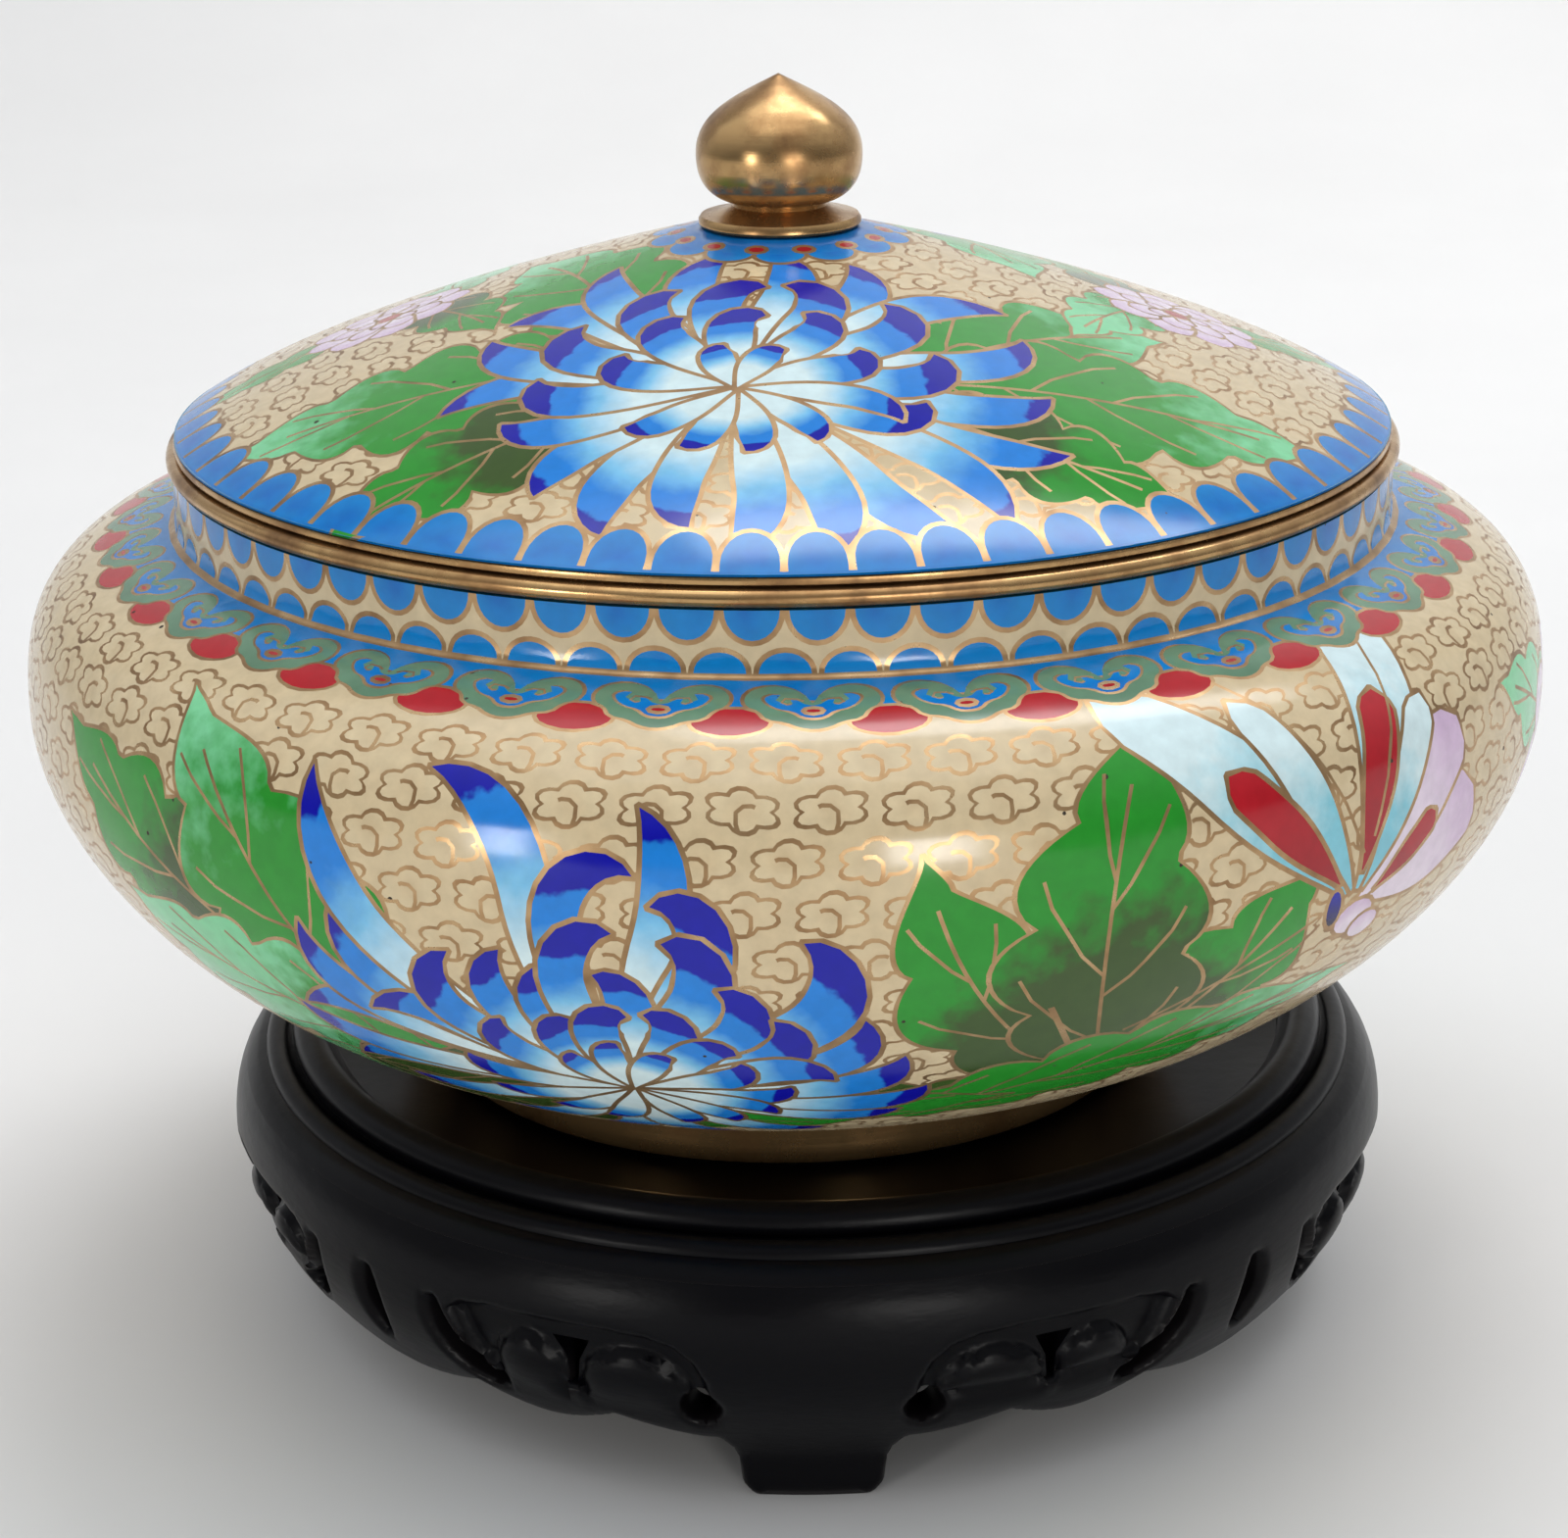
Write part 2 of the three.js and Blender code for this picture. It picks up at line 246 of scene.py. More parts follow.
# Which points lie inside an outline, by how often it winds round them
def winds_round(points, outline):
    ax, ay = outline[:, 0], outline[:, 1]
    bx, by = np.roll(ax, -1), np.roll(ay, -1)
    px, py = points[:, :1], points[:, 1:]
    side = (bx - ax) * (py - ay) - (px - ax) * (by - ay)
    up = (ay <= py) & (by > py) & (side > 0)
    down = (ay > py) & (by <= py) & (side < 0)
    return (up.sum(1) - down.sum(1)) != 0


def distance_to(points, outline):
    a, b = outline, np.roll(outline, -1, 0)
    along = b - a
    length = np.maximum((along**2).sum(1), 1e-9)
    share = np.clip(((points[:, None] - a) * along).sum(2) / length, 0, 1)
    return np.sqrt(((points[:, None] - a - share[..., None] * along) ** 2).sum(2)).min(1)


# Triangles over a flat area that keep every edge given
def triangulate(points, edges):
    flat, _, triangles, *_ = delaunay_2d_cdt([tuple(map(float, p)) for p in points], edges, [], 0, 1e-5, False)
    flat = np.array([tuple(p) for p in flat])
    triangles = np.array([t for t in triangles if len(t) == 3])
    a, b, c = flat[triangles[:, 0]], flat[triangles[:, 1]], flat[triangles[:, 2]]
    area = (b[:, 0] - a[:, 0]) * (c[:, 1] - a[:, 1]) - (b[:, 1] - a[:, 1]) * (c[:, 0] - a[:, 0])
    triangles[area < 0] = triangles[area < 0][:, ::-1]
    return flat, triangles[np.abs(area) > 1e-7]


def fill_flat(outlines, loose):
    points = [p for outline in outlines for p in outline]
    edges = []
    first = 0
    for outline in outlines:
        count = len(outline)
        edges += [(first + i, first + (i + 1) % count) for i in range(count)]
        first += count
    return triangulate(points + list(loose), edges)


# Carving outlines of a quarter of the apron, in degrees from a foot's middle and heights
def oval(angle, height, across, tall, count=28):
    turns = np.linspace(0, 2 * math.pi, count, endpoint=False)
    return np.stack([angle + across / MM_PER_DEGREE * np.cos(turns), height + tall * np.sin(turns)], 1)


def slot_outline(a, b, c, width, steps=14):
    share = np.linspace(0, 1, steps + 1)[:, None]
    a, b, c = (np.array([p[0] * MM_PER_DEGREE, p[1]]) for p in (a, b, c))
    line = quadratic(a, b, c, share)
    along = 2 * (1 - share) * (b - a) + 2 * share * (c - b)
    along /= np.linalg.norm(along, axis=1)[:, None]
    half = width / 2 * np.sqrt(np.sin(math.pi * (0.04 + 0.92 * share)))
    side = np.stack([-along[:, 1], along[:, 0]], 1) * half
    outline = np.concatenate([line + side, (line - side)[::-1]])
    return outline / (MM_PER_DEGREE, 1)


def mirrored(outline):
    return (outline * (-1, 1) + (PANEL, 0))[::-1]


def lobe_crown(start, end):
    turns = np.linspace(math.pi, 0, CROWN_POINTS)
    middle = (start + end) / 2
    return np.stack([middle + (end - start) / 2 * np.cos(turns), LOBE_BASE + LOBE_RISE * np.sin(turns)], 1)


lobe_notch = np.array([(22.1, 19.9), (22.8, 19.9), (23.0, 24.0), (24.3, 28.0), (20.6, 28.0), (21.9, 24.0)])
lobe_ground = np.concatenate([
    [(9.4, LOBE_BASE), (9.7, 24.0), (10.6, 27.4), (12.4, 29.9), (15.0, 31.1), (18.5, 31.4)],
    [(30.4, 31.4), (33.2, 30.6), (34.4, 29.2), (33.6, 25.0), (32.4, LOBE_BASE)],
    lobe_crown(*LOBES[1])[::-1],
    lobe_crown(*LOBES[0])[::-1],
])
half_cuts = [
    oval(10.4, 18.5, 3.0, 3.0),
    lobe_notch,
    slot_outline((30.0, 17.2), (35.6, 18.0), (36.6, 30.0), 4.6),
]
apron_cuts = half_cuts + [mirrored(cut) for cut in half_cuts]
apron_cuts.append(slot_outline((45, 18), (45, 24), (45, 30.5), 4.4))
apron_grounds = [lobe_ground, mirrored(lobe_ground)]

# The apron's lower edge: a foot's flank, then swags that hang between cusps
flank = [(6.4, -4.0), (6.4, 0.0), (7.3, 2.0), (7.6, 6.0), (8.2, 8.6), (9.2, EDGE_CUSP - SWAG_DROP)]
edge_line = []
for start, end in ((flank[-1][0], 19.0), (19.0, 34.0), (34.0, 56.0)):
    for share in np.linspace(0, 1, 13)[1:]:
        half_swag = start == flank[-1][0]
        hang = math.cos(math.pi / 2 * share) if half_swag else math.sin(math.pi * share)
        edge_line.append((start + (end - start) * share, EDGE_CUSP - SWAG_DROP * hang))
half_edge = np.array(flank + [p for p in edge_line if p[0] < PANEL / 2])
lower_edge = np.concatenate([half_edge, mirrored(half_edge)])

apron_line = np.concatenate([
    [(84.2, 0.0), (85.0, 0.8)],
    cubic((85.4, 7), (88, 12.5), (96, 20), (96, 31), 20),
    cubic((96, 31), (96, 36), (94.6, 40), (91.5, 42.3), 16)[1:],
])
inner_line = np.array([(76.0, 0.0), (84.0, 18.0), (85.0, 33.0), (85.5, APRON_TOP)])

apron_cuts.append(lower_edge)
panel_edge = np.array([(0.0, 0.0), (PANEL, 0.0), (PANEL, APRON_TOP), (0.0, APRON_TOP)])
scale = np.array([MM_PER_DEGREE, 1.0])
cut_outlines = [cut * scale for cut in apron_cuts]
ground_outlines = [ground * scale for ground in apron_grounds]
full_width = PANEL * MM_PER_DEGREE


def grid_points(step):
    across = np.linspace(0, full_width, round(full_width / step) + 1)
    up = np.linspace(0, APRON_TOP, round(APRON_TOP / step) + 1)
    return np.stack(np.meshgrid(across, up), 2).reshape(-1, 2)


def from_carving(points):
    return np.min([distance_to(points, loop) for loop in cut_outlines + ground_outlines], 0)


fine, coarse = grid_points(APRON_FINE_GRID), grid_points(APRON_GRID)
from_edge = from_carving(fine)
fine = fine[(from_edge > EDGE_CLEAR) & (from_edge < FINE_REACH)]
fine = fine[(fine[:, 0] > SEAM_CLEAR) & (fine[:, 0] < full_width - SEAM_CLEAR)]
on_side = (coarse[:, 0] < 1e-6) | (coarse[:, 0] > full_width - 1e-6)
coarse = coarse[(from_carving(coarse) >= FINE_REACH) | on_side]
outlines = [panel_edge * scale] + cut_outlines + ground_outlines
flat, triangles = fill_flat(outlines, np.concatenate([fine, coarse]))
middles = flat[triangles].mean(1)
keep = (middles > 0).all(1) & (middles < (full_width, APRON_TOP)).all(1)
for cut in cut_outlines:
    keep &= ~winds_round(middles, cut)
triangles = triangles[keep]

def quarter_round(distance, reach):
    short = np.clip(1 - distance / reach, 0, 1)
    return 1 - np.sqrt(1 - short**2)


# How far each point is carved back: rounded edges at the cuts, and the sunk ground over the lobes
to_cut = np.min([distance_to(flat, cut) for cut in cut_outlines], 0)
carved = CUT_ROUNDING * quarter_round(to_cut, CUT_ROUNDING)
lobe_loops = [np.concatenate([lobe_crown(a, b), [(b, LOBE_FOOT), (a, LOBE_FOOT)]]) for a, b in LOBES]
for loop in lobe_loops + [mirrored(loop) for loop in lobe_loops]:
    loop = loop * scale
    drop = LOBE_DROP * quarter_round(distance_to(flat, loop[:CROWN_POINTS]), LOBE_ROUNDING)
    drop *= np.clip((flat[:, 1] - LOBE_FADE[0]) / LOBE_FADE[1], 0, 1)
    carved = np.where(winds_round(flat, loop), np.maximum(carved, drop), carved)
for ground in ground_outlines:
    from_edge = distance_to(flat, ground)
    sunk = winds_round(flat, ground) | (from_edge < 1e-4)
    into = np.clip(from_edge / GROUND_SLOPE, 0, 1)
    depth = GROUND_LIP + (GROUND_DEPTH - GROUND_LIP) * np.sin(into * math.pi / 2)
    lip = GROUND_LIP * quarter_round(from_edge, GROUND_LIP)
    carved = np.maximum(carved, np.where(sunk, depth, lip))
carved *= np.clip((APRON_TOP - flat[:, 1]) / TOP_FADE, 0, 1)

panel_points = []
panel_faces = []
outer_radius = np.interp(flat[:, 1], apron_line[:, 1], apron_line[:, 0]) - carved
inner_radius = np.interp(flat[:, 1], inner_line[:, 1], inner_line[:, 0])
edge_count = {}
for triangle in triangles:
    for i in range(3):
        pair = (int(triangle[i]), int(triangle[(i + 1) % 3]))
        edge_count[pair] = edge_count.get(pair, 0) + 1
count = len(flat)
for quarter in range(4):
    turn = np.radians(flat[:, 0] / MM_PER_DEGREE + quarter * PANEL)
    for radius in (outer_radius, inner_radius):
        ring = np.stack([radius * np.sin(turn) + STAND_SHIFT_X, -radius * np.cos(turn), flat[:, 1]], 1)
        panel_points.append(ring / 1000)
    first = quarter * 2 * count
    panel_faces += [tuple(first + t) for t in triangles]
    panel_faces += [tuple(first + count + t[::-1]) for t in triangles]
    for a, b in edge_count:
        if (b, a) in edge_count:
            continue
        on_seam = (flat[a, 0] < 1e-3 and flat[b, 0] < 1e-3) or min(flat[a, 0], flat[b, 0]) > full_width - 1e-3
        if not on_seam and min(flat[a, 1], flat[b, 1]) < APRON_TOP - 1e-3:
            panel_faces.append((first + b, first + a, first + count + a, first + count + b))
apron_points = [tuple(p) for p in np.concatenate(panel_points)]
apron = new_object("stand", apron_points, [], [tuple(map(int, f)) for f in panel_faces])
select_only(apron)
bpy.ops.object.mode_set(mode="EDIT")
bpy.ops.mesh.select_all(action="SELECT")
bpy.ops.mesh.remove_doubles(threshold=2e-6)
bpy.ops.mesh.delete_loose()
bpy.ops.object.mode_set(mode="OBJECT")
bpy.ops.object.shade_smooth_by_angle(angle=math.radians(62))

lacquer, tree, shader = new_material("black_lacquer")
place = node(tree, "TexCoord", "Object")
stretched = node(tree, "Mapping", "Vector", place, Scale=(1.0, 1.0, 3.0))
grain = node(tree, "TexNoise", "Fac", stretched, Scale=240.0, Detail=5.0)
haze = node(tree, "TexNoise", "Fac", place, Scale=28.0, Detail=4.0)
worn = node(tree, "MapRange", "Result", node(tree, "NewGeometry", "Pointiness"), 0.53, 0.62)
colours = {"A": (*LACQUER, 1), "B": (*LACQUER_WORN, 1)}
feed(
    shader,
    Base_Color=node(tree, "Mix", "Result", data_type="RGBA", Factor=worn, **colours),
    Roughness=node(tree, "MapRange", "Result", haze, 0, 1, 0.27, 0.42),
    Normal=node(tree, "Bump", "Normal", Height=grain, Strength=0.16, Distance=0.0004),
    Specular_IOR_Level=0.12,
)
apron.data.materials.append(lacquer)

apron_rim = np.interp(APRON_TOP, apron_line[:, 1], apron_line[:, 0])
top_line = np.concatenate([
    [(0, 33.0), (85.5, 33.0), (91.0, 39.0), (apron_rim, APRON_TOP)],
    [p for p in apron_line if p[1] > APRON_TOP],
    arc(88.3, 42.6, 2.1, 0, 140, 12),
    arc(83.0, 45.2, 2.9, -25, 150, 18),
    [(79.6, 45.6), (SEAT_RADIUS, 45.1), (SEAT_RADIUS, SEAT_HEIGHT + 0.4)],
    [(78.6, SEAT_HEIGHT), (0, SEAT_HEIGHT)],
])
stand_top = turned("stand_top", top_line, 180, lacquer, 50, STAND_SHIFT_X)
for piece in (apron, stand_top):
    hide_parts("stand")
    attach(piece, "root")

# Foot ring: a short turned brass collar, soldered under the bowl, which stands on it in the seat.
# The brass is rubbed bright on its edges and has gone brown and dull in its hollows.
FOOT_RING_BOTTOM = 42.8
FOOT_RING_TOP = 51.7
FOOT_RING_INSIDE = 56.5
EDGE_ROUND = 0.3
BRASS_BRIGHT = (0.52, 0.325, 0.14)
BRASS_BROWN = (0.34, 0.19, 0.078)
BRASS_DARK = (0.13, 0.07, 0.032)


# A node group that gives a colour, a roughness and a height
def new_group(name):
    group = bpy.data.node_groups.new(name, "ShaderNodeTree")
    for socket, kind in (("Colour", "Color"), ("Roughness", "Float"), ("Height", "Float")):
        group.interface.new_socket(socket, in_out="OUTPUT", socket_type="NodeSocket" + kind)
    return group


# Gives a material the colour, roughness and bump of a node group
def coat(tree, shader, group, strength, distance, **inputs):
    height = node(tree, "Group", "Height", node_tree=group, **inputs)
    bump = node(tree, "Bump", "Normal", Height=height, Strength=strength, Distance=distance)
    outputs = height.node.outputs
    feed(shader, Base_Color=outputs["Colour"], Roughness=outputs["Roughness"], Normal=bump)


patina = new_group("brass_patina")
place = node(patina, "TexCoord", "Object")
blotch = node(patina, "TexNoise", "Fac", place, Scale=85.0, Detail=6.0, Roughness=0.62)
turning = node(patina, "Mapping", "Vector", place, Scale=(30.0, 30.0, 1500.0))
feed(
    patina.nodes.new("NodeGroupOutput"),
    Colour=ramp(patina, blotch, [(0.28, BRASS_DARK), (0.43, BRASS_BROWN), (0.6, BRASS_BRIGHT)]),
    Roughness=node(patina, "MapRange", "Result", blotch, 0.3, 0.62, 0.42, 0.2),
    Height=node(patina, "TexNoise", "Fac", turning, Scale=1.0, Detail=3.0),
)
brass, tree, shader = new_material("aged_brass")
coat(tree, shader, patina, 0.12, 0.0002)
feed(shader, Metallic=0.84)

foot_line = [
    (FOOT_RING_INSIDE, FOOT_RING_BOTTOM + EDGE_ROUND), (FOOT_RING_INSIDE + EDGE_ROUND, FOOT_RING_BOTTOM),
    (59.2, FOOT_RING_BOTTOM), (59.8, FOOT_RING_BOTTOM + EDGE_ROUND), (60.0, FOOT_RING_BOTTOM + 3 * EDGE_ROUND),
    (59.7, 45.5), (59.5, 48.5), (59.7, FOOT_RING_TOP - EDGE_ROUND), (59.5, FOOT_RING_TOP),
    (FOOT_RING_INSIDE, FOOT_RING_TOP), (FOOT_RING_INSIDE, FOOT_RING_BOTTOM + EDGE_ROUND),
]
foot_ring = turned("bowl_foot_ring", foot_line, 120, brass)
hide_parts("bowl_foot_ring")
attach(foot_ring, "root")

# Bowl: spun copper covered with enamel cells between flat brass wires, fired and ground flush.
# The neck has two rows of scallops; a border of scroll heads and red drops rings the shoulder.
# Sizes in millimetres; a run is the distance along the bowl's profile from its foot
BOWL_WALL = 3.2
BOWL_TOP = 141.9
NECK_RADIUS = 96
BELLY = (120.5, 106.3)
BELLY_INSIDE = (117.3, 106.3)
BASE_BAND = 2.6
BASE_WIRE = 3.3
BOUQUETS = (-11.6, 168.4)
BUTTERFLIES = (39.4, -140.6)
SIDE_FLOWERS = (78.0, -102.0)
BOUQUET_RUN = 53.6
MOTIF_RUN = 76.0
CLOUD_WIDTH = 11.4
CLOUD_ROW = 6.9
CLOUD_TOP_RUN = 108.6
LEAST_CLOUDS = 20
COVER_POINTS = 30
BORDER_RUN = 116.2
SCROLL_RUN = 120.6
SCROLL_RADIUS = 103
SCROLL_HEADS = 32
RING_WIRE = (125.5, 126.7)
NECK_SCALLOPS = 69
BOWL_GRID = 6.8
BOWL_ROWS = 40
X_PER_DEGREE = 2.0
# Half-widths of the wires: round a cell, round a cloud, inside a cell and in a leaf
WIRE_HALF = 0.38
CLOUD_WIRE_HALF = 0.33
THIN_WIRE_HALF = 0.3
VEIN_HALF = 0.27
FEELER_HALF = 0.28
LEAST_HALF = 0.02


def paint(red, green, blue):
    def one(value):
        value /= 255
        return value / 12.92 if value <= 0.04045 else ((value + 0.055) / 1.055) ** 2.4
    return (one(red), one(green), one(blue))


CREAM = paint(208, 190, 154)
CREAM_DEEP = paint(202, 182, 146)
SKY = paint(0, 106, 188)
SKY_PALE = paint(12, 126, 198)
NAVY = paint(16, 18, 158)
PALE = paint(208, 229, 232)
PALE_BLUE = paint(120, 188, 226)
MID_BLUE = paint(32, 126, 212)
MINT = paint(120, 205, 150)
GREEN = paint(40, 142, 44)
OLIVE = paint(58, 82, 36)
RED = paint(158, 24, 34)
SAGE = paint(92, 128, 102)
LILAC = paint(206, 180, 208)
LILAC_PALE = paint(226, 212, 226)
WING = paint(128, 196, 212)
INK = paint(36, 30, 52)
COUNTER = paint(40, 120, 160)

PIT = (0.03, 0.02, 0.012)
WIRE_DARK = (0.27, 0.155, 0.07)
WIRE_BROWN = (0.42, 0.26, 0.125)
WIRE_BRIGHT = (0.56, 0.38, 0.2)

# Fired enamel: mottled tone, sparse dark pits, a slightly uneven ground surface
fired = new_group("fired_enamel")
fired.interface.new_socket("Colour", in_out="INPUT", socket_type="NodeSocketColor")
glass = fired.nodes.new("NodeGroupInput").outputs["Colour"]
place = node(fired, "TexCoord", "Object")
mottle = node(fired, "TexNoise", "Fac", place, Scale=420.0, Detail=4.0)
cloudy = node(fired, "TexNoise", "Fac", place, Scale=60.0, Detail=2.0)
from_pit = node(fired, "TexVoronoi", "Distance", place, Scale=190.0)
pit_chance = node(fired, "SeparateColor", "Red", from_pit.node.outputs["Color"])
pit_size = node(fired, "MapRange", "Result", pit_chance, 0.62, 1.0, 0.0, 0.085)
pit = node(fired, "Math", "Value", from_pit, pit_size, operation="LESS_THAN")
light = node(fired, "MapRange", "Result", mottle, 0.3, 0.7, 0.93, 1.06)
toned = node(fired, "VectorMath", "Vector", glass, operation="SCALE", Scale=light)
gloss = node(fired, "MapRange", "Result", cloudy, 0, 1, 0.1, 0.2)
feed(
    fired.nodes.new("NodeGroupOutput"),
    Colour=node(fired, "Mix", "Result", data_type="RGBA", Factor=pit, A=toned, B=(*PIT, 1)),
    Roughness=node(fired, "Math", "Value", pit, 0.5, gloss, operation="MULTIPLY_ADD"),
    Height=node(fired, "Math", "Value", cloudy, pit, operation="SUBTRACT"),
)


# Enamel whose colour runs from a cell's base to its tip, with a soft wandering border
def enamel(name, stops, wander):
    material, tree, shader = new_material(name)
    along = node(tree, "SeparateXYZ", "X", node(tree, "UVMap", "UV", uv_map="cell"))
    drift = node(tree, "TexNoise", "Fac", node(tree, "TexCoord", "Object"), Scale=260.0, Detail=3.0)
    shift = node(tree, "MapRange", "Result", drift, 0, 1, -wander, wander)
    share = node(tree, "Math", "Value", along, shift, operation="ADD")
    coat(tree, shader, fired, 0.1, 0.0003, Colour=ramp(tree, share, stops))
    feed(shader, IOR=1.5, Specular_IOR_Level=0.4)
    return material


wire, tree, shader = new_material("cell_wire")
tone = node(tree, "TexNoise", "Fac", node(tree, "TexCoord", "Object"), Scale=180.0, Detail=4.0)
feed(
    shader,
    Base_Color=ramp(tree, tone, [(0.3, WIRE_DARK), (0.5, WIRE_BROWN), (0.72, WIRE_BRIGHT)]),
    Roughness=node(tree, "MapRange", "Result", tone, 0, 1, 0.4, 0.2),
    Metallic=0.7,
)


# The petals of the two rings differ in where their pale enamel turns blue
def petal_stops(first_blue, blue, last_blue, navy):
    blues = [(first_blue, PALE_BLUE), (blue, MID_BLUE), (last_blue, MID_BLUE), (navy, NAVY)]
    return [(0.0, PALE), (0.5, PALE)] + blues


PALETTE = {
    "cream": enamel("enamel_cream", [(0.2, CREAM_DEEP), (0.8, CREAM)], 0.5),
    "wire": wire,
    "sky": enamel("enamel_sky", [(0.2, SKY), (0.9, SKY_PALE)], 0.4),
    "petal": enamel("enamel_petal", petal_stops(0.68, 0.8, 0.905, 0.92), 0.05),
    "petal_dark": enamel("enamel_petal_dark", petal_stops(0.66, 0.77, 0.88, 0.895), 0.05),
    "leaf": enamel("enamel_leaf", [(0.0, GREEN), (0.6, GREEN), (0.9, MINT)], 0.25),
    "leaf_mint": enamel("enamel_leaf_mint", [(0.0, GREEN), (0.3, GREEN), (0.55, MINT), (1.0, MINT)], 0.3),
    "leaf_olive": enamel("enamel_leaf_olive", [(0.0, OLIVE), (0.45, OLIVE), (0.6, GREEN), (1.0, GREEN)], 0.16),
    "olive": enamel("enamel_olive", [(0.2, OLIVE), (0.9, lit(OLIVE, 1.3))], 0.4),
    "red": enamel("enamel_red", [(0.2, RED), (0.9, lit(RED, 1.25))], 0.4),
    "sage": enamel("enamel_sage", [(0.2, SAGE), (0.9, lit(SAGE, 1.2))], 0.4),
    "lilac": enamel("enamel_lilac", [(0.0, LILAC_PALE), (0.5, LILAC_PALE), (0.9, LILAC)], 0.2),
    "wing": enamel("enamel_wing", [(0.0, WING), (0.35, WING), (0.7, PALE), (1.0, PALE)], 0.2),
    "ink": enamel("enamel_ink", [(0.2, INK), (0.9, NAVY)], 0.3),
}
PAINTS = list(PALETTE)


# A cell's outline round a middle line with half-widths, made larger or smaller by grow
def around(line, half, grow, right_half=None):
    along = np.gradient(line, axis=0)
    along /= np.maximum(np.linalg.norm(along, axis=1), 1e-9)[:, None]
    side = np.stack([-along[:, 1], along[:, 0]], 1)
    wide = np.maximum(half + grow, LEAST_HALF)[:, None]
    right_wide = wide if right_half is None else np.maximum(right_half + grow, LEAST_HALF)[:, None]
    line = line.copy()
    line[0] -= along[0] * grow
    line[-1] += along[-1] * grow
    return np.concatenate([line + side * wide, (line - side * right_wide)[::-1]])


def heading(turn):
    return np.array([math.sin(math.radians(turn)), math.cos(math.radians(turn))])


LEAF_STEPS = 44
LEAF_TO_BEND = 0.55
LEAF_AFTER_BEND = 0.47
MIDRIB = 0.86
# Where along a lobe's wave each side of a leaf starts, left and right
LOBE_SHIFTS = (0.1, 0.42)


# The middle line of a leaf that sets off at one angle and bends to another
def bent_line(start, turn, length, bend):
    a = np.array(start, float)
    b = a + heading(turn) * length * LEAF_TO_BEND
    c = b + heading(turn + bend) * length * LEAF_AFTER_BEND
    return quadratic(a, b, c, np.linspace(0, 1, LEAF_STEPS + 1)[:, None])


def cell(outline_at, colour, base, tip):
    return [(outline_at(WIRE_HALF), "wire", base, tip), (outline_at(-WIRE_HALF), colour, base, tip)]


HOOK_FROM = 0.62
HOOK_STRENGTH = 1.3
CROWN = 0.86
CROWN_REACH = 0.93
PETAL_FOOT = 0.14
WIDE_FROM = 0.6


# A petal is a tongue that widens outwards, then tapers into a hook to one side
def petal(start, turn, length, width, bend, hook, colour="petal", steps=24, full_until=0.7):
    share = np.linspace(0, 1, steps + 1)
    late = np.clip((share - HOOK_FROM) / (1 - HOOK_FROM), 0, 1)
    turns = np.radians(bend * share + HOOK_STRENGTH * hook * late**1.5)
    line = np.concatenate([[(0.0, 0.0)], np.cumsum(np.stack([np.sin(turns), np.cos(turns)], 1)[1:], 0)])
    crown = line[round(steps * CROWN)]
    swing = math.radians(turn) - math.atan2(*crown)
    size = CROWN_REACH * length / math.hypot(*crown)
    across, up = (math.cos(swing), -math.sin(swing)), (math.sin(swing), math.cos(swing))
    line = line @ np.array([across, up]) * size + start
    opening = np.sin(math.pi / 2 * np.clip(share / WIDE_FROM, 0, 1)) ** 1.25
    closing = np.cos(math.pi / 2 * np.clip((share - full_until) / (1 - full_until), 0, 1) ** 1.3) ** 0.85
    half = width / 2 * (PETAL_FOOT + (1 - PETAL_FOOT) * opening) * closing
    far = line[np.argmax(np.hypot(*(line - line[0]).T))]
    return cell(lambda grow: around(line, half, grow), colour, line[0], far)


def stroke(points, half=WIRE_HALF, colour="wire"):
    points = np.array(points, float)
    line = np.concatenate([points[:1], (points[:-1] + points[1:]) / 2, points[-1:]])
    return [(around(line, np.full(len(line), half), 0.0), colour, line[0], line[-1])]


# A pointed leaf with rounded lobes that alternate on its two sides, a midrib and side veins
def leaf(start, turn, length, width, bend, colour, lobes=4):
    line = bent_line(start, turn, length, bend)
    share = np.linspace(0, 1, LEAF_STEPS + 1)
    body = width / 2 * np.sin(math.pi * share**0.7) ** (0.5 + 0.55 * share)
    halves = []
    for shift in LOBE_SHIFTS:
        wave = np.abs(np.sin(math.pi * (lobes * share + shift)))
        halves.append(body * (0.66 + 0.4 * wave**0.6))
    shapes = cell(lambda grow: around(line, halves[0], grow, halves[1]), colour, line[0], line[-1])
    shapes += stroke(line[: int(LEAF_STEPS * MIDRIB) : 3], THIN_WIRE_HALF)
    along = np.gradient(line, axis=0)
    side = np.stack([-along[:, 1], along[:, 0]], 1)
    side /= np.linalg.norm(side, axis=1)[:, None]
    for lobe_number in range(1, lobes):
        for way, half, shift in zip((1, -1), halves, LOBE_SHIFTS):
            tip = min(max(round(LEAF_STEPS * (lobe_number + 0.5 - shift) / lobes), 2), LEAF_STEPS)
            root = max(tip - round(LEAF_STEPS * 0.24), 1)
            far = line[tip] + way * side[tip] * half[tip] * 0.74
            near = line[root]
            middle = (near + far) / 2 + way * side[root] * half[tip] * 0.14
            shapes += stroke([near, middle, far], VEIN_HALF)
    return shapes


def blob(centre, across, tall, colour, count=14, turn=0.0):
    turns = np.linspace(0, 2 * math.pi, count, endpoint=False)
    c, s = math.cos(math.radians(turn)), math.sin(math.radians(turn))

    def outline(grow):
        x, y = (across + grow) * np.cos(turns), (tall + grow) * np.sin(turns)
        return np.stack([centre[0] + x * c + y * s, centre[1] - x * s + y * c], 1)

    return cell(outline, colour, (centre[0], centre[1] - tall), (centre[0], centre[1] + tall))


CLOUD_POINTS = 30
CLOUD_TURN = 0.12
CLOUD_CURL = [(-1.6, 0.4), (-0.7, 0.8), (0.6, 0.3), (1.2, -0.8), (0.6, -2.7)]


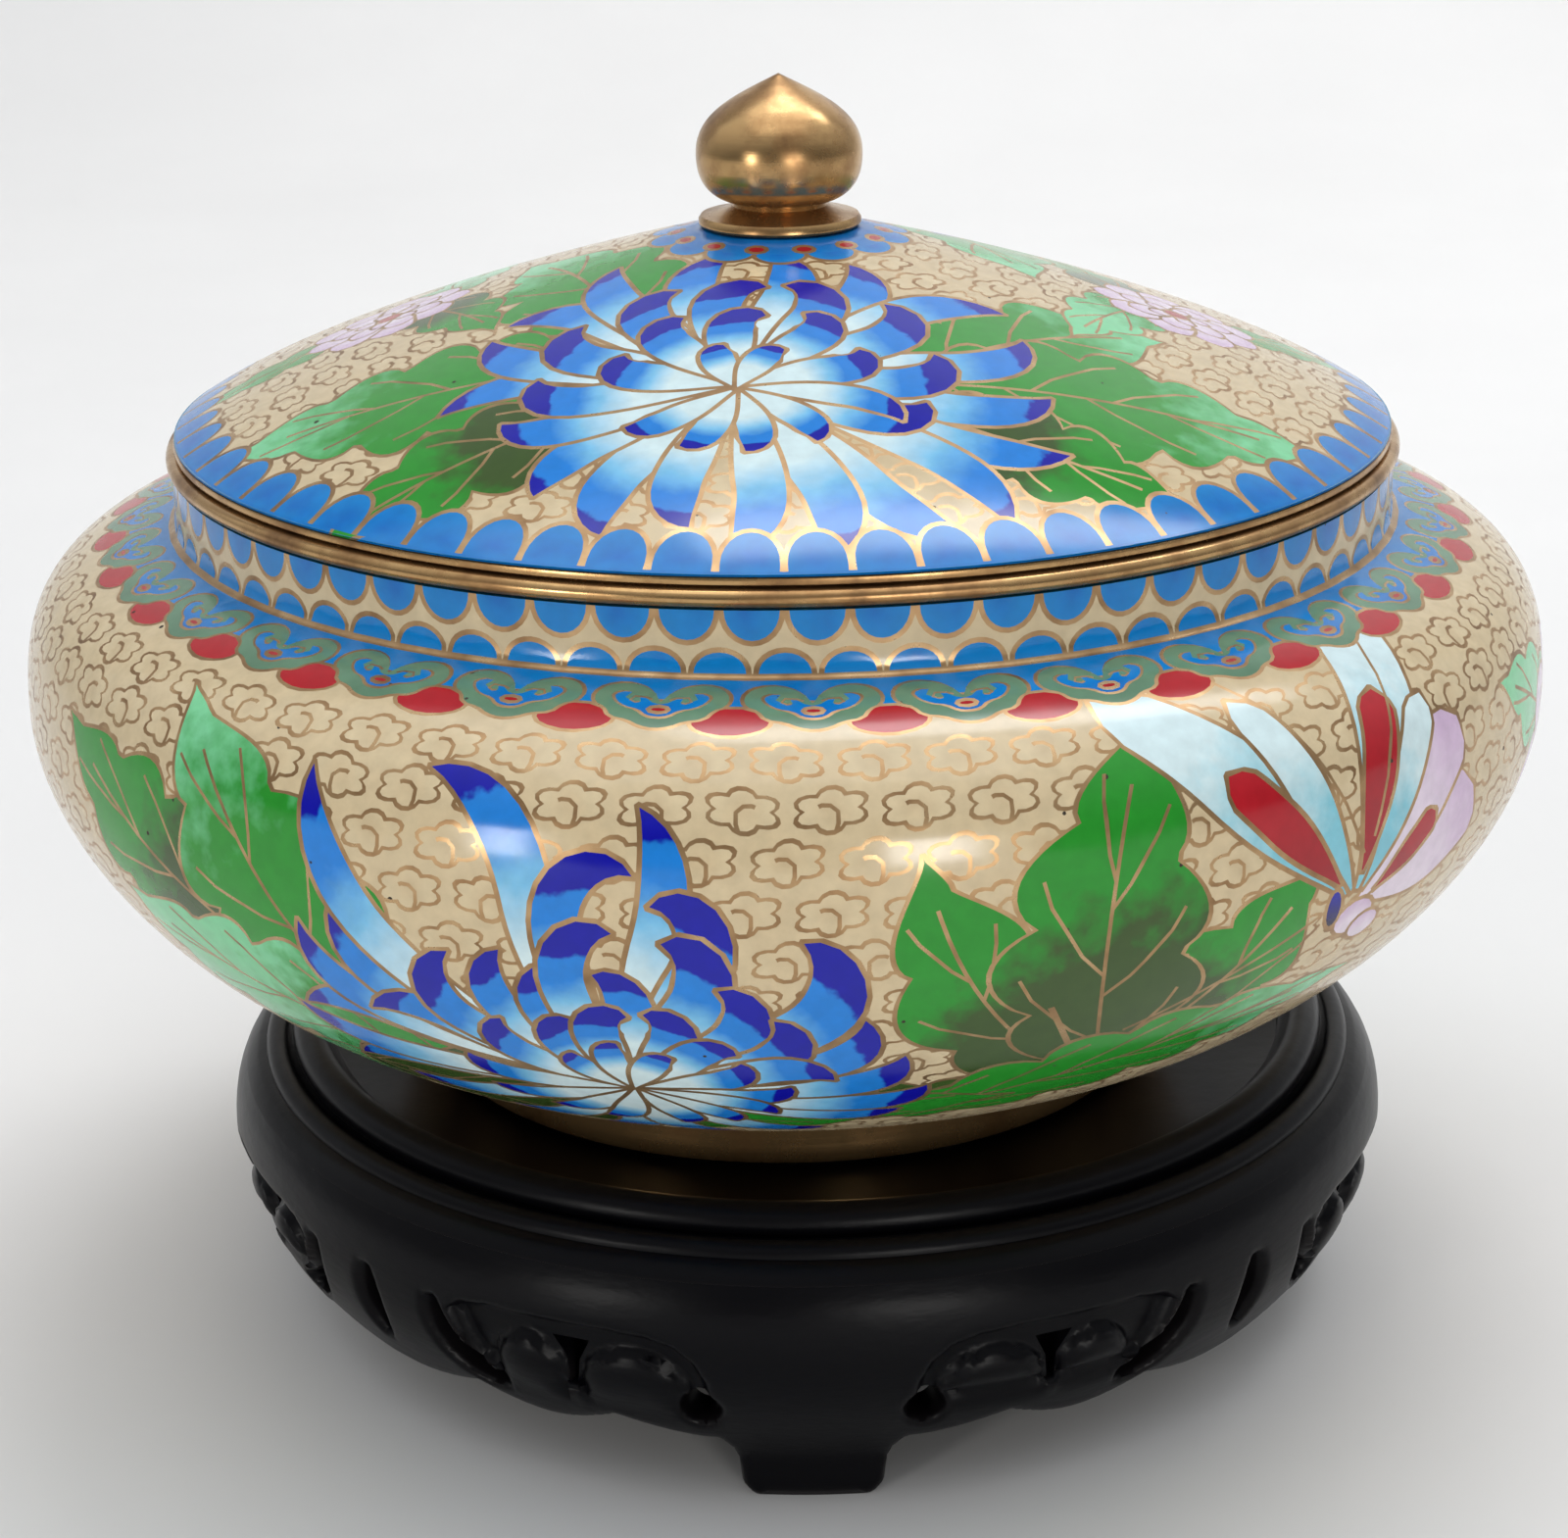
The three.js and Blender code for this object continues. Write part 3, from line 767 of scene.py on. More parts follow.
# One cloud of the ground: a loop of wire with six lobes, its end curled in from below
def cloud(size, flip):
    turns = CLOUD_TURN + np.linspace(0, 2 * math.pi, CLOUD_POINTS, endpoint=False)
    bulge = 0.8 + 0.29 * np.abs(np.sin(3 * (turns - CLOUD_TURN)))

    def outline(grow):
        x = (4.6 * size * bulge + grow) * np.cos(turns)
        y = (2.8 * size * bulge + grow) * np.sin(turns)
        return np.stack([flip * (x + 0.25 * y), y], 1)

    shapes = [(outline(CLOUD_WIRE_HALF), "wire", (0, 0), (0, 0))]
    shapes.append((outline(-CLOUD_WIRE_HALF), "cream", (0, 0), (0, 4)))
    return shapes + stroke([(flip * x * size, y * size) for x, y in CLOUD_CURL], THIN_WIRE_HALF)


# Petals of the flower in side view, ring by ring: turn, length, width, bend and hook
def chrysanthemum_fan():
    shapes = leaf((-46, -10), 88, 96, 30, 4, "leaf_olive", 6)
    for row in (
        (-112, 38, 6.5, 8, 40), (112, 36, 6.5, -8, -40), (-140, 32, 6.5, 10, 60), (140, 32, 6.5, -10, -60),
        (-166, 30, 6.5, 6, 60), (168, 30, 6.5, -6, -60), (-96, 44, 6.5, 10, -40), (-86, 50, 6.5, 12, 30),
        (-76, 49, 7, 10, -50), (-66, 52, 7, 6, 45), (-56, 50, 7.5, 10, 50), (-46, 63, 7.5, 22, 30),
        (-20, 56, 8, 16, -60), (-2, 43, 7, 12, 95), (10, 47, 7, 10, -45), (98, 40, 7, -12, -50),
        (84, 39, 7, -16, -50), (70, 38, 7, -10, -60), (49, 43, 9, -16, -85), (18, 39, 8, 16, -110),
    ):
        shapes += petal((0, 0), *row)
    for row in (
        (-64, 37, 6.5, 12, -60), (-50, 36, 7, 14, 80), (-36, 31, 6.5, 10, 60), (-22, 27, 6.5, 12, 70),
        (-8, 33, 7, 10, 80), (24, 33, 8.5, 14, -95), (42, 29, 7.5, -8, -85), (60, 29, 7.5, -10, -80),
        (76, 27, 7, -8, 60), (4, 25, 7, 10, -70),
    ):
        shapes += petal((0, -1), *row, "petal_dark", 18)
    for row in (
        (-54, 23, 6.5, 10, 70), (-28, 19, 6.5, 8, 75), (-4, 20, 7, 8, 85), (22, 21, 7, -8, -85),
        (46, 19, 6.5, -8, 70), (68, 18, 6, -6, -60), (-84, 23, 5.5, 8, 50), (92, 21, 5.5, -8, -50),
    ):
        shapes += petal((0, -2), *row, "petal_dark", 18)
    for turn, length in (
        (-108, 22), (-134, 18), (112, 20), (136, 18), (162, 17), (-160, 17), (-40, 12), (-6, 13), (30, 12),
    ):
        shapes += petal((0, -2), turn, length, 5.0, 10, 40, "petal_dark", 16)
    return shapes


def lilac_flower(across=19.0):
    shapes = leaf((0, 4), -58, 40, 18, -12, "leaf_mint") + leaf((0, 4), 52, 40, 18, 14, "leaf_olive")
    shapes += leaf((0, -6), 150, 34, 14, 8, "leaf")
    for ring, (reach, count) in enumerate(((1.0, 9), (0.68, 7), (0.4, 5))):
        for i in range(count):
            turn = 360 * i / count + 17 * ring
            shapes += petal((0, 0), turn, across * reach, across * 0.62 * reach, 8, 0, "lilac", 12, 0.74)
    return shapes + blob((0, 0), 2.6, 2.6, "red")


# Seen from the side with its wings up: hind legs, wings with their marks, feelers, and the body
def butterfly():
    shapes = []
    for line in ([(-2, 0), (-10, -4), (-20, -9), (-30, -15)], [(-2, -2), (-8, -9), (-16, -16), (-22, -23)]):
        shapes += stroke(line, THIN_WIRE_HALF)
    for start, turn, length, width, bend, colour in (
        ((6, 0), 70, 27, 14, -22, "lilac"), ((5, 0), 46, 30, 12, 6, "lilac"),
        ((2, 2), -43, 48, 12.5, 8, "wing"), ((3, 2), -28, 35, 7, 8, "wing"),
        ((4, 2), 17, 42, 13.5, 4, "wing"), ((5, 2), 31, 28, 7, 4, "wing"),
        ((0, 4), -45, 27, 6.5, 2, "red"), ((4, 5), 15, 25, 7.5, 4, "red"), ((8, 1), 56, 15, 4.5, 0, "red"),
    ):
        shapes += petal(start, turn, length, width, bend, 0, colour, 16, 0.84)
    for line in ([(4, 8), (-4, 24), (-14, 40)], [(6, 10), (12, 26), (16, 38)]):
        shapes += stroke(line, FEELER_HALF)
    shapes += blob((5.5, -3.0), 4.2, 3.4, "lilac") + blob((9.0, -5.6), 3.4, 2.8, "lilac")
    return shapes + blob((0, 0), 1.7, 3.6, "ink", turn=-12)


def left_leaves():
    shapes = leaf((-46, 14), -66, 62, 30, 8, "leaf_olive", 5)
    shapes += leaf((-34, 8), -42, 58, 34, 12, "leaf", 4)
    shapes += leaf((-26, 0), -80, 64, 30, 16, "leaf_mint", 5)
    return shapes + leaf((-8, -6), -104, 56, 18, 14, "leaf", 4)


def right_leaves():
    shapes = leaf((18, -8), 92, 44, 16, -14, "olive", 4)
    shapes += leaf((60, 0), -32, 45, 25, 18, "leaf_olive", 3)
    shapes += leaf((68, 0), 52, 46, 25, -8, "leaf_olive", 3)
    shapes += leaf((65, 0), 4, 57, 31, 6, "leaf_olive", 4)
    shapes += stroke([(62, -2), (61.5, 6), (59, 16)], 0.5)
    return shapes + leaf((32, -14), 68, 84, 19, 18, "leaf", 6)


# A loop with its corners cut, so that it reads as a bent wire
def rounded(loop):
    after = np.roll(loop, -1, 0)
    return np.stack([0.75 * loop + 0.25 * after, 0.25 * loop + 0.75 * after], 1).reshape(-1, 2)


# One head of the shoulder border: a sage scroll with a blue heart, and the red drop beside it
def scroll_head(pitch):
    lower = [(-9.6, 0.6), (-9.3, -1.6), (-7.6, -2.6), (-6.6, -4.6), (-4.0, -5.2), (-2.2, -6.4), (0.0, -6.9)]
    upper = [(0.0, -1.0), (-1.0, 1.2), (-2.6, 3.0), (-5.4, 3.9), (-8.2, 2.9)]
    right = [(-x, y) for x, y in reversed(lower[:-1])]
    ring = np.array(lower + right + [(8.2, 2.9), (5.4, 3.9), (2.6, 3.0), (1.0, 1.2)] + upper)
    hollow = np.array([
        (-6.9, 0.7), (-6.4, -0.9), (-5.0, -2.2), (-3.0, -2.8), (-1.6, -4.2), (0, -4.5),
        (1.6, -4.2), (3.0, -2.8), (5.0, -2.2), (6.4, -0.9), (6.9, 0.7), (5.2, 1.7),
        (2.9, 0.6), (0.9, -1.6), (-0.9, -1.6), (-2.9, 0.6), (-5.2, 1.7),
    ])
    drop = np.array([
        (-3.9, -3.4), (-4.6, -5.4), (-3.4, -7.3), (0, -8.4), (3.4, -7.3), (4.6, -5.4), (3.9, -3.4), (0, -1.2),
    ])
    ring, hollow, drop = rounded(ring), rounded(hollow), rounded(drop * (1.25, 0.95) + (0, -0.2))

    def grown(outline, grow, middle):
        away = outline - middle
        return outline + away / np.maximum(np.linalg.norm(away, axis=1), 1e-9)[:, None] * grow

    # Outline, the spot it grows from, its place, its wire's outer and inner half, and its enamel
    shapes = []
    for outline, middle, place, outer, inner, colour, foot, head in (
        (drop, (0, -5), (pitch / 2, 0), 0.36, 0.3, "red", -7, -2),
        (ring, (0, -1), (0, 0), 0.3, 0.3, "sage", -6, 3),
        (hollow, (0, -1), (0, 0), 0.22, 0.3, "sky", -6, 3),
    ):
        shapes.append((grown(outline, outer, middle) + place, "wire", (0, 0), (1, 0)))
        shapes.append((grown(outline, -inner, middle) + place, colour, (0, foot), (0, head)))
    for way in (-1, 1):
        curl = [(way * x, y) for x, y in ((1.2, 0.4), (3.0, 1.4), (4.4, 0.7), (4.0, -0.5), (2.9, -0.2))]
        shapes += stroke(curl, 0.8, "sage") + stroke([(x, y - 0.75) for x, y in curl], 0.2)
    return shapes + blob((0, -2.6), 1.4, 0.75, "red", 8)


# An arch of wire whose open foot goes a little under the band that it stands on
def scallop(width, height, way):
    turns = np.linspace(0, math.pi, 13)

    def outline(grow):
        half, foot = width / 2 + grow, -way * 1.2
        arch = np.stack([half * np.cos(turns), way * (height + grow) * np.sin(turns)], 1)
        return np.concatenate([arch, [(-half, foot), (half, foot)]])

    shapes = [(outline(WIRE_HALF), "wire", (0, 0), (0, 1))]
    return shapes + [(outline(-WIRE_HALF), "sky", (0, 0), (0, way * height))]


bowl_line = np.concatenate([
    cubic((61, 52), (95, 58.8), (120.5, 85.8), BELLY, 60),
    cubic(BELLY, (120.5, 120.3), (118, 128.3), (96.8, 132.6), 60)[1:],
    [(96.2, 133.2)],
    [(NECK_RADIUS, height) for height in (133.9, 136.0, 139.0, BOWL_TOP)],
])
bowl_run = np.concatenate([[0], np.cumsum(np.hypot(*np.diff(bowl_line, axis=0).T))])
BOWL_LENGTH = float(bowl_run[-1])


def bowl_radius(run):
    return np.interp(run, bowl_run, bowl_line[:, 0])


# Local millimetres round a spot of the bowl, turned into the unrolled surface's coordinates
def on_bowl(shapes, angle, run, size=1.0):
    placed = []
    for outline, colour, base, tip in shapes:
        ends = np.array([base, tip], float)
        both = np.concatenate([np.asarray(outline, float), ends]) * size
        y = run + both[:, 1]
        x = X_PER_DEGREE * (angle + np.degrees(both[:, 0] / bowl_radius(y)))
        both = np.stack([x, y], 1)
        placed.append((both[:-2], colour, both[-2], both[-1]))
    return placed


# The last of the shapes that covers each triangle, or -1
def owners(flat, triangles, shapes):
    middles = flat[triangles].mean(1)
    order = np.argsort(middles[:, 0])
    sorted_x = middles[order, 0]
    owner = np.full(len(triangles), -1)
    for number, (loop, *_) in enumerate(shapes):
        low, high = loop.min(0), loop.max(0)
        near = order[np.searchsorted(sorted_x, low[0]) : np.searchsorted(sorted_x, high[0])]
        near = near[(middles[near, 1] > low[1]) & (middles[near, 1] < high[1])]
        if len(near):
            owner[near[winds_round(middles[near], loop)]] = number
    return owner


# The points and edges that part two owners, without the lines hidden under a later shape
def seen_lines(flat, triangles, owner):
    sides = np.sort(np.concatenate([triangles[:, [0, 1]], triangles[:, [1, 2]], triangles[:, [2, 0]]]), 1)
    edges, where, count = np.unique(sides, axis=0, return_inverse=True, return_counts=True)
    least, most = np.full(len(edges), 10**9), np.full(len(edges), -2)
    np.minimum.at(least, where.reshape(-1), np.tile(owner, 3))
    np.maximum.at(most, where.reshape(-1), np.tile(owner, 3))
    edges = edges[(least != most) | (count == 1)]
    used, edges = np.unique(edges, return_inverse=True)
    return flat[used], edges.reshape(-1, 2)


# A conforming mesh of all the cells: later shapes cover earlier ones
def enamel_sheet(name, shapes, outline, loose, inside, to_space):
    shapes = [s for s in shapes if len(s[0]) > 2]
    flat, triangles = fill_flat([outline] + [s[0] for s in shapes], [])
    triangles = triangles[inside(flat[triangles].mean(1))]
    flat, edges = seen_lines(flat, triangles, owners(flat, triangles, shapes))
    flat, triangles = triangulate(list(flat) + list(loose), [tuple(map(int, e)) for e in edges])
    triangles = triangles[inside(flat[triangles].mean(1))]
    owner = owners(flat, triangles, shapes)
    points, normals = to_space(flat)
    _, first, where = np.unique(np.round(points, 3), axis=0, return_index=True, return_inverse=True)
    where = where.reshape(-1)
    corners = where[triangles]
    real = (corners != np.roll(corners, 1, 1)).all(1)
    corners, triangles, owner = corners[real], triangles[real], owner[real]
    points, normals = points[first] / 1000, normals[first]
    used, corners = np.unique(corners, return_inverse=True)
    corners = corners.reshape(-1, 3)
    points, normals = points[used], normals[used]
    a, b, c = (points[corners[:, i]] for i in range(3))
    facing = (np.cross(b - a, c - a) * normals[corners[:, 0]]).sum(1)
    wrong = facing < 0
    corners[wrong] = corners[wrong][:, ::-1]
    triangles[wrong] = triangles[wrong][:, ::-1]
    piece = new_object(name, [tuple(p) for p in points], [], [tuple(map(int, t)) for t in corners])
    kinds = np.array([PAINTS.index(s[1]) for s in shapes] + [0])
    piece.data.polygons.foreach_set("material_index", kinds[owner].astype(np.int32))
    base = np.array([s[2] for s in shapes] + [(0, 0)], float)
    reach = np.array([s[3] for s in shapes] + [(0, 1)], float) - base
    long = np.maximum(np.linalg.norm(reach, axis=1), 1e-3)
    away = np.linalg.norm(flat[triangles] - base[owner][:, None], axis=2) / long[owner][:, None]
    away[owner < 0] = 0.5
    uv = np.stack([np.clip(away, 0, 1.2), np.zeros_like(away)], 2)
    piece.data.uv_layers.new(name="cell").data.foreach_set("uv", uv.astype(np.float32).ravel())
    piece.data.polygons.foreach_set("use_smooth", np.ones(len(corners), bool))
    for paint_name in PAINTS:
        piece.data.materials.append(PALETTE[paint_name])
    piece.data.update()
    piece.data.normals_split_custom_set_from_vertices([tuple(n) for n in normals])
    return piece


# Whether a cloud lies wholly under one of the leaves and flowers
def hidden(loop, covers):
    low, high = loop.min(0), loop.max(0)
    for cover in covers:
        if (cover.min(0) < low).all() and (cover.max(0) > high).all() and winds_round(loop[::3], cover).all():
            return True
    return False


def with_clouds(clouds, motifs):
    covers = [shape[0] for shape in motifs if shape[1] == "wire" and len(shape[0]) > COVER_POINTS]
    shown = []
    for placed in clouds:
        if not hidden(placed[0][0], covers):
            shown += placed
    return shown + motifs


bowl_motifs = []
for angle in BOUQUETS:
    bowl_motifs += on_bowl(left_leaves() + right_leaves() + chrysanthemum_fan(), angle, BOUQUET_RUN)
for angle in BUTTERFLIES:
    bowl_motifs += on_bowl(butterfly(), angle, MOTIF_RUN)
for angle in SIDE_FLOWERS:
    bowl_motifs += on_bowl(lilac_flower(), angle, MOTIF_RUN)

# Rows of clouds from the shoulder down, each half a cloud on from the last, every fifth one turned
bowl_clouds = []
run = CLOUD_TOP_RUN
row = 0
while run > 5:
    around_count = max(round(2 * math.pi * float(bowl_radius(run)) / CLOUD_WIDTH), LEAST_CLOUDS)
    for i in range(around_count):
        angle = (360 * (i + 0.5 * (row % 2)) / around_count + 180) % 360 - 180
        bowl_clouds.append(on_bowl(cloud(1.0, 1 if (i + row) % 5 else -1), angle, run))
    run -= CLOUD_ROW
    row += 1
bowl_shapes = with_clouds(bowl_clouds, bowl_motifs)
half_round = 360 * X_PER_DEGREE / 2


# A band round the whole bowl from one run to another
def band(low, high):
    return np.array([(-half_round, low), (half_round, low), (half_round, high), (-half_round, high)])


bowl_shapes.append((band(BORDER_RUN, RING_WIRE[0]), "sky", (0, 110), (0, 130)))
scroll_pitch = 2 * math.pi * SCROLL_RADIUS / SCROLL_HEADS
for i in range(SCROLL_HEADS):
    bowl_shapes += on_bowl(scroll_head(scroll_pitch), 360 * i / SCROLL_HEADS - 178, SCROLL_RUN, 0.98)
neck_pitch = 2 * math.pi * NECK_RADIUS / NECK_SCALLOPS
for i in range(NECK_SCALLOPS):
    angle = -180 + 360 * (i + 0.5) / NECK_SCALLOPS
    bowl_shapes += on_bowl(scallop(neck_pitch - 0.9, 3.3, 1), angle, RING_WIRE[1])
    bowl_shapes += on_bowl(scallop(neck_pitch - 0.5, 4.6, -1), angle + 180 / NECK_SCALLOPS, BOWL_LENGTH)
bowl_shapes.append((band(*RING_WIRE), "wire", (0, 0), (0, 1)))
bowl_shapes.append((band(0, BASE_BAND), "sky", (0, 0), (0, 5)))
bowl_shapes.append((band(BASE_BAND, BASE_WIRE), "wire", (0, 0), (0, 5)))

# Shapes that pass the back line are drawn on both sides of it
wrapped = []
for loop, colour, base, tip in bowl_shapes:
    for turn in (-2 * half_round, 0, 2 * half_round):
        x = loop[:, 0] + turn
        if turn == 0 or (len(loop) > 4 and x.min() < half_round and x.max() > -half_round):
            step = np.array((turn, 0))
            wrapped.append((loop + step, colour, base + step, tip + step))
bowl_shapes = wrapped


def bowl_inside(points):
    return (np.abs(points[:, 0]) < half_round) & (points[:, 1] > 0) & (points[:, 1] < BOWL_LENGTH)


def bowl_space(flat):
    turn = np.radians(flat[:, 0] / X_PER_DEGREE)
    radius = np.interp(flat[:, 1], bowl_run, bowl_line[:, 0])
    height = np.interp(flat[:, 1], bowl_run, bowl_line[:, 1])
    tangent = np.gradient(bowl_line, bowl_run, axis=0)
    out = np.interp(flat[:, 1], bowl_run, tangent[:, 1])
    up = -np.interp(flat[:, 1], bowl_run, tangent[:, 0])
    length = np.hypot(out, up)
    points = np.stack([radius * np.sin(turn), -radius * np.cos(turn), height], 1)
    normals = np.stack([out * np.sin(turn), -out * np.cos(turn), up], 1) / length[:, None]
    return points, normals


bowl_loose = []
for x in np.arange(-half_round, half_round + 1, BOWL_GRID):
    bowl_loose += [(x, y) for y in np.linspace(0, BOWL_LENGTH, BOWL_ROWS)]
bowl = enamel_sheet("bowl", bowl_shapes, band(0.0, BOWL_LENGTH), bowl_loose, bowl_inside, bowl_space)

counter_enamel = enamel("counter_enamel", [(0.2, COUNTER), (0.9, lit(COUNTER, 1.25))], 0.4)
neck_inside = NECK_RADIUS - BOWL_WALL
bowl_in = np.concatenate([
    [(NECK_RADIUS, BOWL_TOP), (neck_inside, BOWL_TOP), (neck_inside, 134.2)],
    cubic(BELLY_INSIDE, (117.3, 117.1), (114.8, 125.1), (93.6, 131.0), 24)[::-1],
    cubic((57.8, 55.2), (91.8, 62.0), (117.3, 85.8), BELLY_INSIDE, 24)[::-1][1:],
    [(0, 55.2)],
])
bowl_lining = turned("bowl_lining", bowl_in, 144, counter_enamel)
bowl_base = turned("bowl_base", [(61, 52), (56, 51.95), (30, 51.9), (0, 51.9)], 96, counter_enamel)
for lining in (bowl_lining, bowl_base):
    lining.data.uv_layers.new(name="cell")
for piece in (bowl, bowl_lining, bowl_base):
    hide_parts("bowl")
    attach(piece, "root")

# Rim bead: a round brass bead soldered round the bowl's mouth, over the edge of the enamel.
# It is drawn wire, aged like the foot ring, and it carries the lid.
bead_line = np.concatenate([
    [(92.8, 142.2), (95.6, 142.2)],
    arc(95.6, 143.45, 1.25, -80, 85, 12),
    [(95.2, 144.7), (92.8, 144.7), (92.8, 142.2)],
])
bowl_rim = turned("bowl_rim", bead_line, 180, brass)
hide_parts("bowl_rim")
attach(bowl_rim, "root")

# Lid rim: a flat brass band under the lid's edge, with a locating flange that drops into the mouth.
# It is turned from sheet brass and soldered to the lid's copper.
band_line = [
    (90, 139.0), (91.8, 139.0), (92, 139.2), (92, 144.9), (92.2, 145.0), (95.1, 145.0), (95.5, 145.25),
    (95.6, 145.7), (95.5, 146.1), (95.1, 146.3), (90, 146.3), (90, 139.0),
]
lid_rim = turned("lid_rim", band_line, 180, brass)
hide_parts("lid_rim")
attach(lid_rim, "root")

# Lid: a low dome of spun copper, enamelled as the bowl is, with plain enamel on its underside.
# One open flower faces the front and one the back, with a lilac flower between them on each side.
LID_EDGE = 95.4
SCALLOP_LINE = 93.6
LID_SCALLOPS = 65
KNOB_SEAT = 13
COLLAR_SCALLOPS = 14
FLOWER_TURN = -6.5
FLOWER_RADIUS = 57
LID_CLOUD_SIZE = 0.96
LID_TOP_ROW = 85.5
lid_line = np.concatenate([
    [(95.2, 146.35)],
    cubic((LID_EDGE, 146.6), (80, 156.5), (42, 168.3), (KNOB_SEAT, 175.6), 70),
    [(0, 175.6)],
])[::-1]


def lid_space(flat):
    radius = np.hypot(flat[:, 0], flat[:, 1])
    height = np.interp(radius, lid_line[:, 0], lid_line[:, 1])
    slope = np.gradient(lid_line[:-1, 1], lid_line[:-1, 0])
    down = -np.interp(radius, lid_line[:-1, 0], slope)
    down = np.where(radius < KNOB_SEAT, 0, down)
    safe = np.maximum(radius, 1e-6)
    normals = np.stack([down * flat[:, 0] / safe, down * flat[:, 1] / safe, np.ones(len(flat))], 1)
    normals /= np.linalg.norm(normals, axis=1)[:, None]
    return np.stack([flat[:, 0], flat[:, 1], height], 1), normals


# Local millimetres with their up side towards the knob, on the lid's plan
def on_lid(shapes, angle, radius, size=1.0):
    placed = []
    turn = math.radians(angle)
    out = np.array([math.sin(turn), -math.cos(turn)])
    across = np.array([math.cos(turn), math.sin(turn)])
    for outline, colour, base, tip in shapes:
        both = np.concatenate([np.asarray(outline, float), np.array([base, tip], float)]) * size
        both = out * radius + both[:, :1] * across - both[:, 1:] * out
        placed.append((both[:-2], colour, both[-2], both[-1]))
    return placed


# The open flower, ring by ring: turn, length, width, bend and hook of its outer petals
def chrysanthemum_open():
    shapes = []
    for row in (
        (-150, 34, 8, -10, -40), (-128, 33, 7.5, -12, -30), (-104, 33, 7.5, 8, 50), (-84, 42, 7.5, -8, -40),
        (-66, 44, 8, 14, 40), (-50, 45, 8, 8, -50), (-34, 46, 8, 8, 40), (-14, 40, 8, 16, 50),
        (6, 38, 8, 12, -50), (24, 40, 8, -12, -50), (44, 47, 8, -6, 40), (64, 46, 8, 8, -60),
        (84, 44, 8, -12, -40), (100, 46, 7.5, -10, -30), (116, 45, 7.5, 12, 30), (132, 42, 8, 8, -40),
        (150, 37, 8, 8, 40), (170, 34, 7.5, 10, 40), (-170, 30, 7.5, -8, -40),
    ):
        shapes += petal((0, 0), *row)
    for turn, length, hook in (
        (-90, 30, 70), (-62, 33, 80), (-34, 31, 80), (-8, 29, 85),
        (18, 30, -85), (46, 33, -80), (74, 31, -80), (100, 27, -70),
    ):
        shapes += petal((0, 1), turn, length, 8, 12 if turn < 0 else -12, hook, "petal_dark", 18)
    for turn, length, hook in ((-72, 20, 75), (-38, 22, 80), (-4, 20, 85), (30, 22, -85), (64, 20, -80)):
        shapes += petal((0, 1), turn, length, 7.5, 10, hook, "petal_dark", 18)
    for turn, length in ((96, 24), (128, 17), (164, 15), (-160, 15), (-126, 17), (-20, 12), (24, 12)):
        shapes += petal((0, 0), turn, length, 5.5, 10, 40, "petal_dark", 16)
    return shapes


lid_clouds = []
lid_row = LID_TOP_ROW
row = 0
while lid_row > 20:
    around_count = round(2 * math.pi * lid_row / CLOUD_WIDTH)
    for i in range(around_count):
        angle = 360 * (i + 0.5 * (row % 2)) / around_count
        lid_clouds.append(on_lid(cloud(LID_CLOUD_SIZE, 1 if (i + row) % 5 else -1), angle, lid_row))
    lid_row -= CLOUD_ROW
    row += 1
lid_flower = []
for leaf_row in (
    ((-20, 20), -20, 44, 28, -16, "leaf", 4), ((-22, 8), -88, 54, 30, -6, "leaf", 5),
    ((-20, -4), -116, 40, 22, -6, "leaf_olive", 4), ((26, 10), 40, 46, 26, 16, "leaf", 4),
    ((28, 6), 74, 56, 30, 8, "leaf", 5), ((26, -2), 104, 38, 22, -8, "leaf_olive", 4),
):
    lid_flower += leaf(*leaf_row)
lid_flower += chrysanthemum_open()
lid_motifs = []
for side in (0, 180):
    lid_motifs += on_lid(lid_flower, side + FLOWER_TURN, FLOWER_RADIUS)
    lid_motifs += on_lid(lilac_flower(15.0), side + 88, 62, 0.8)
lid_turns = np.linspace(0, 2 * math.pi, 144, endpoint=False)
lid_circle = np.stack([np.cos(lid_turns), np.sin(lid_turns)], 1)
lid_shapes = [(lid_circle * LID_EDGE, "sky", (0, 0), (0, 190))]
lid_shapes.append((lid_circle * SCALLOP_LINE, "cream", (0, 0), (0, 190)))
lid_shapes += with_clouds(lid_clouds, lid_motifs)
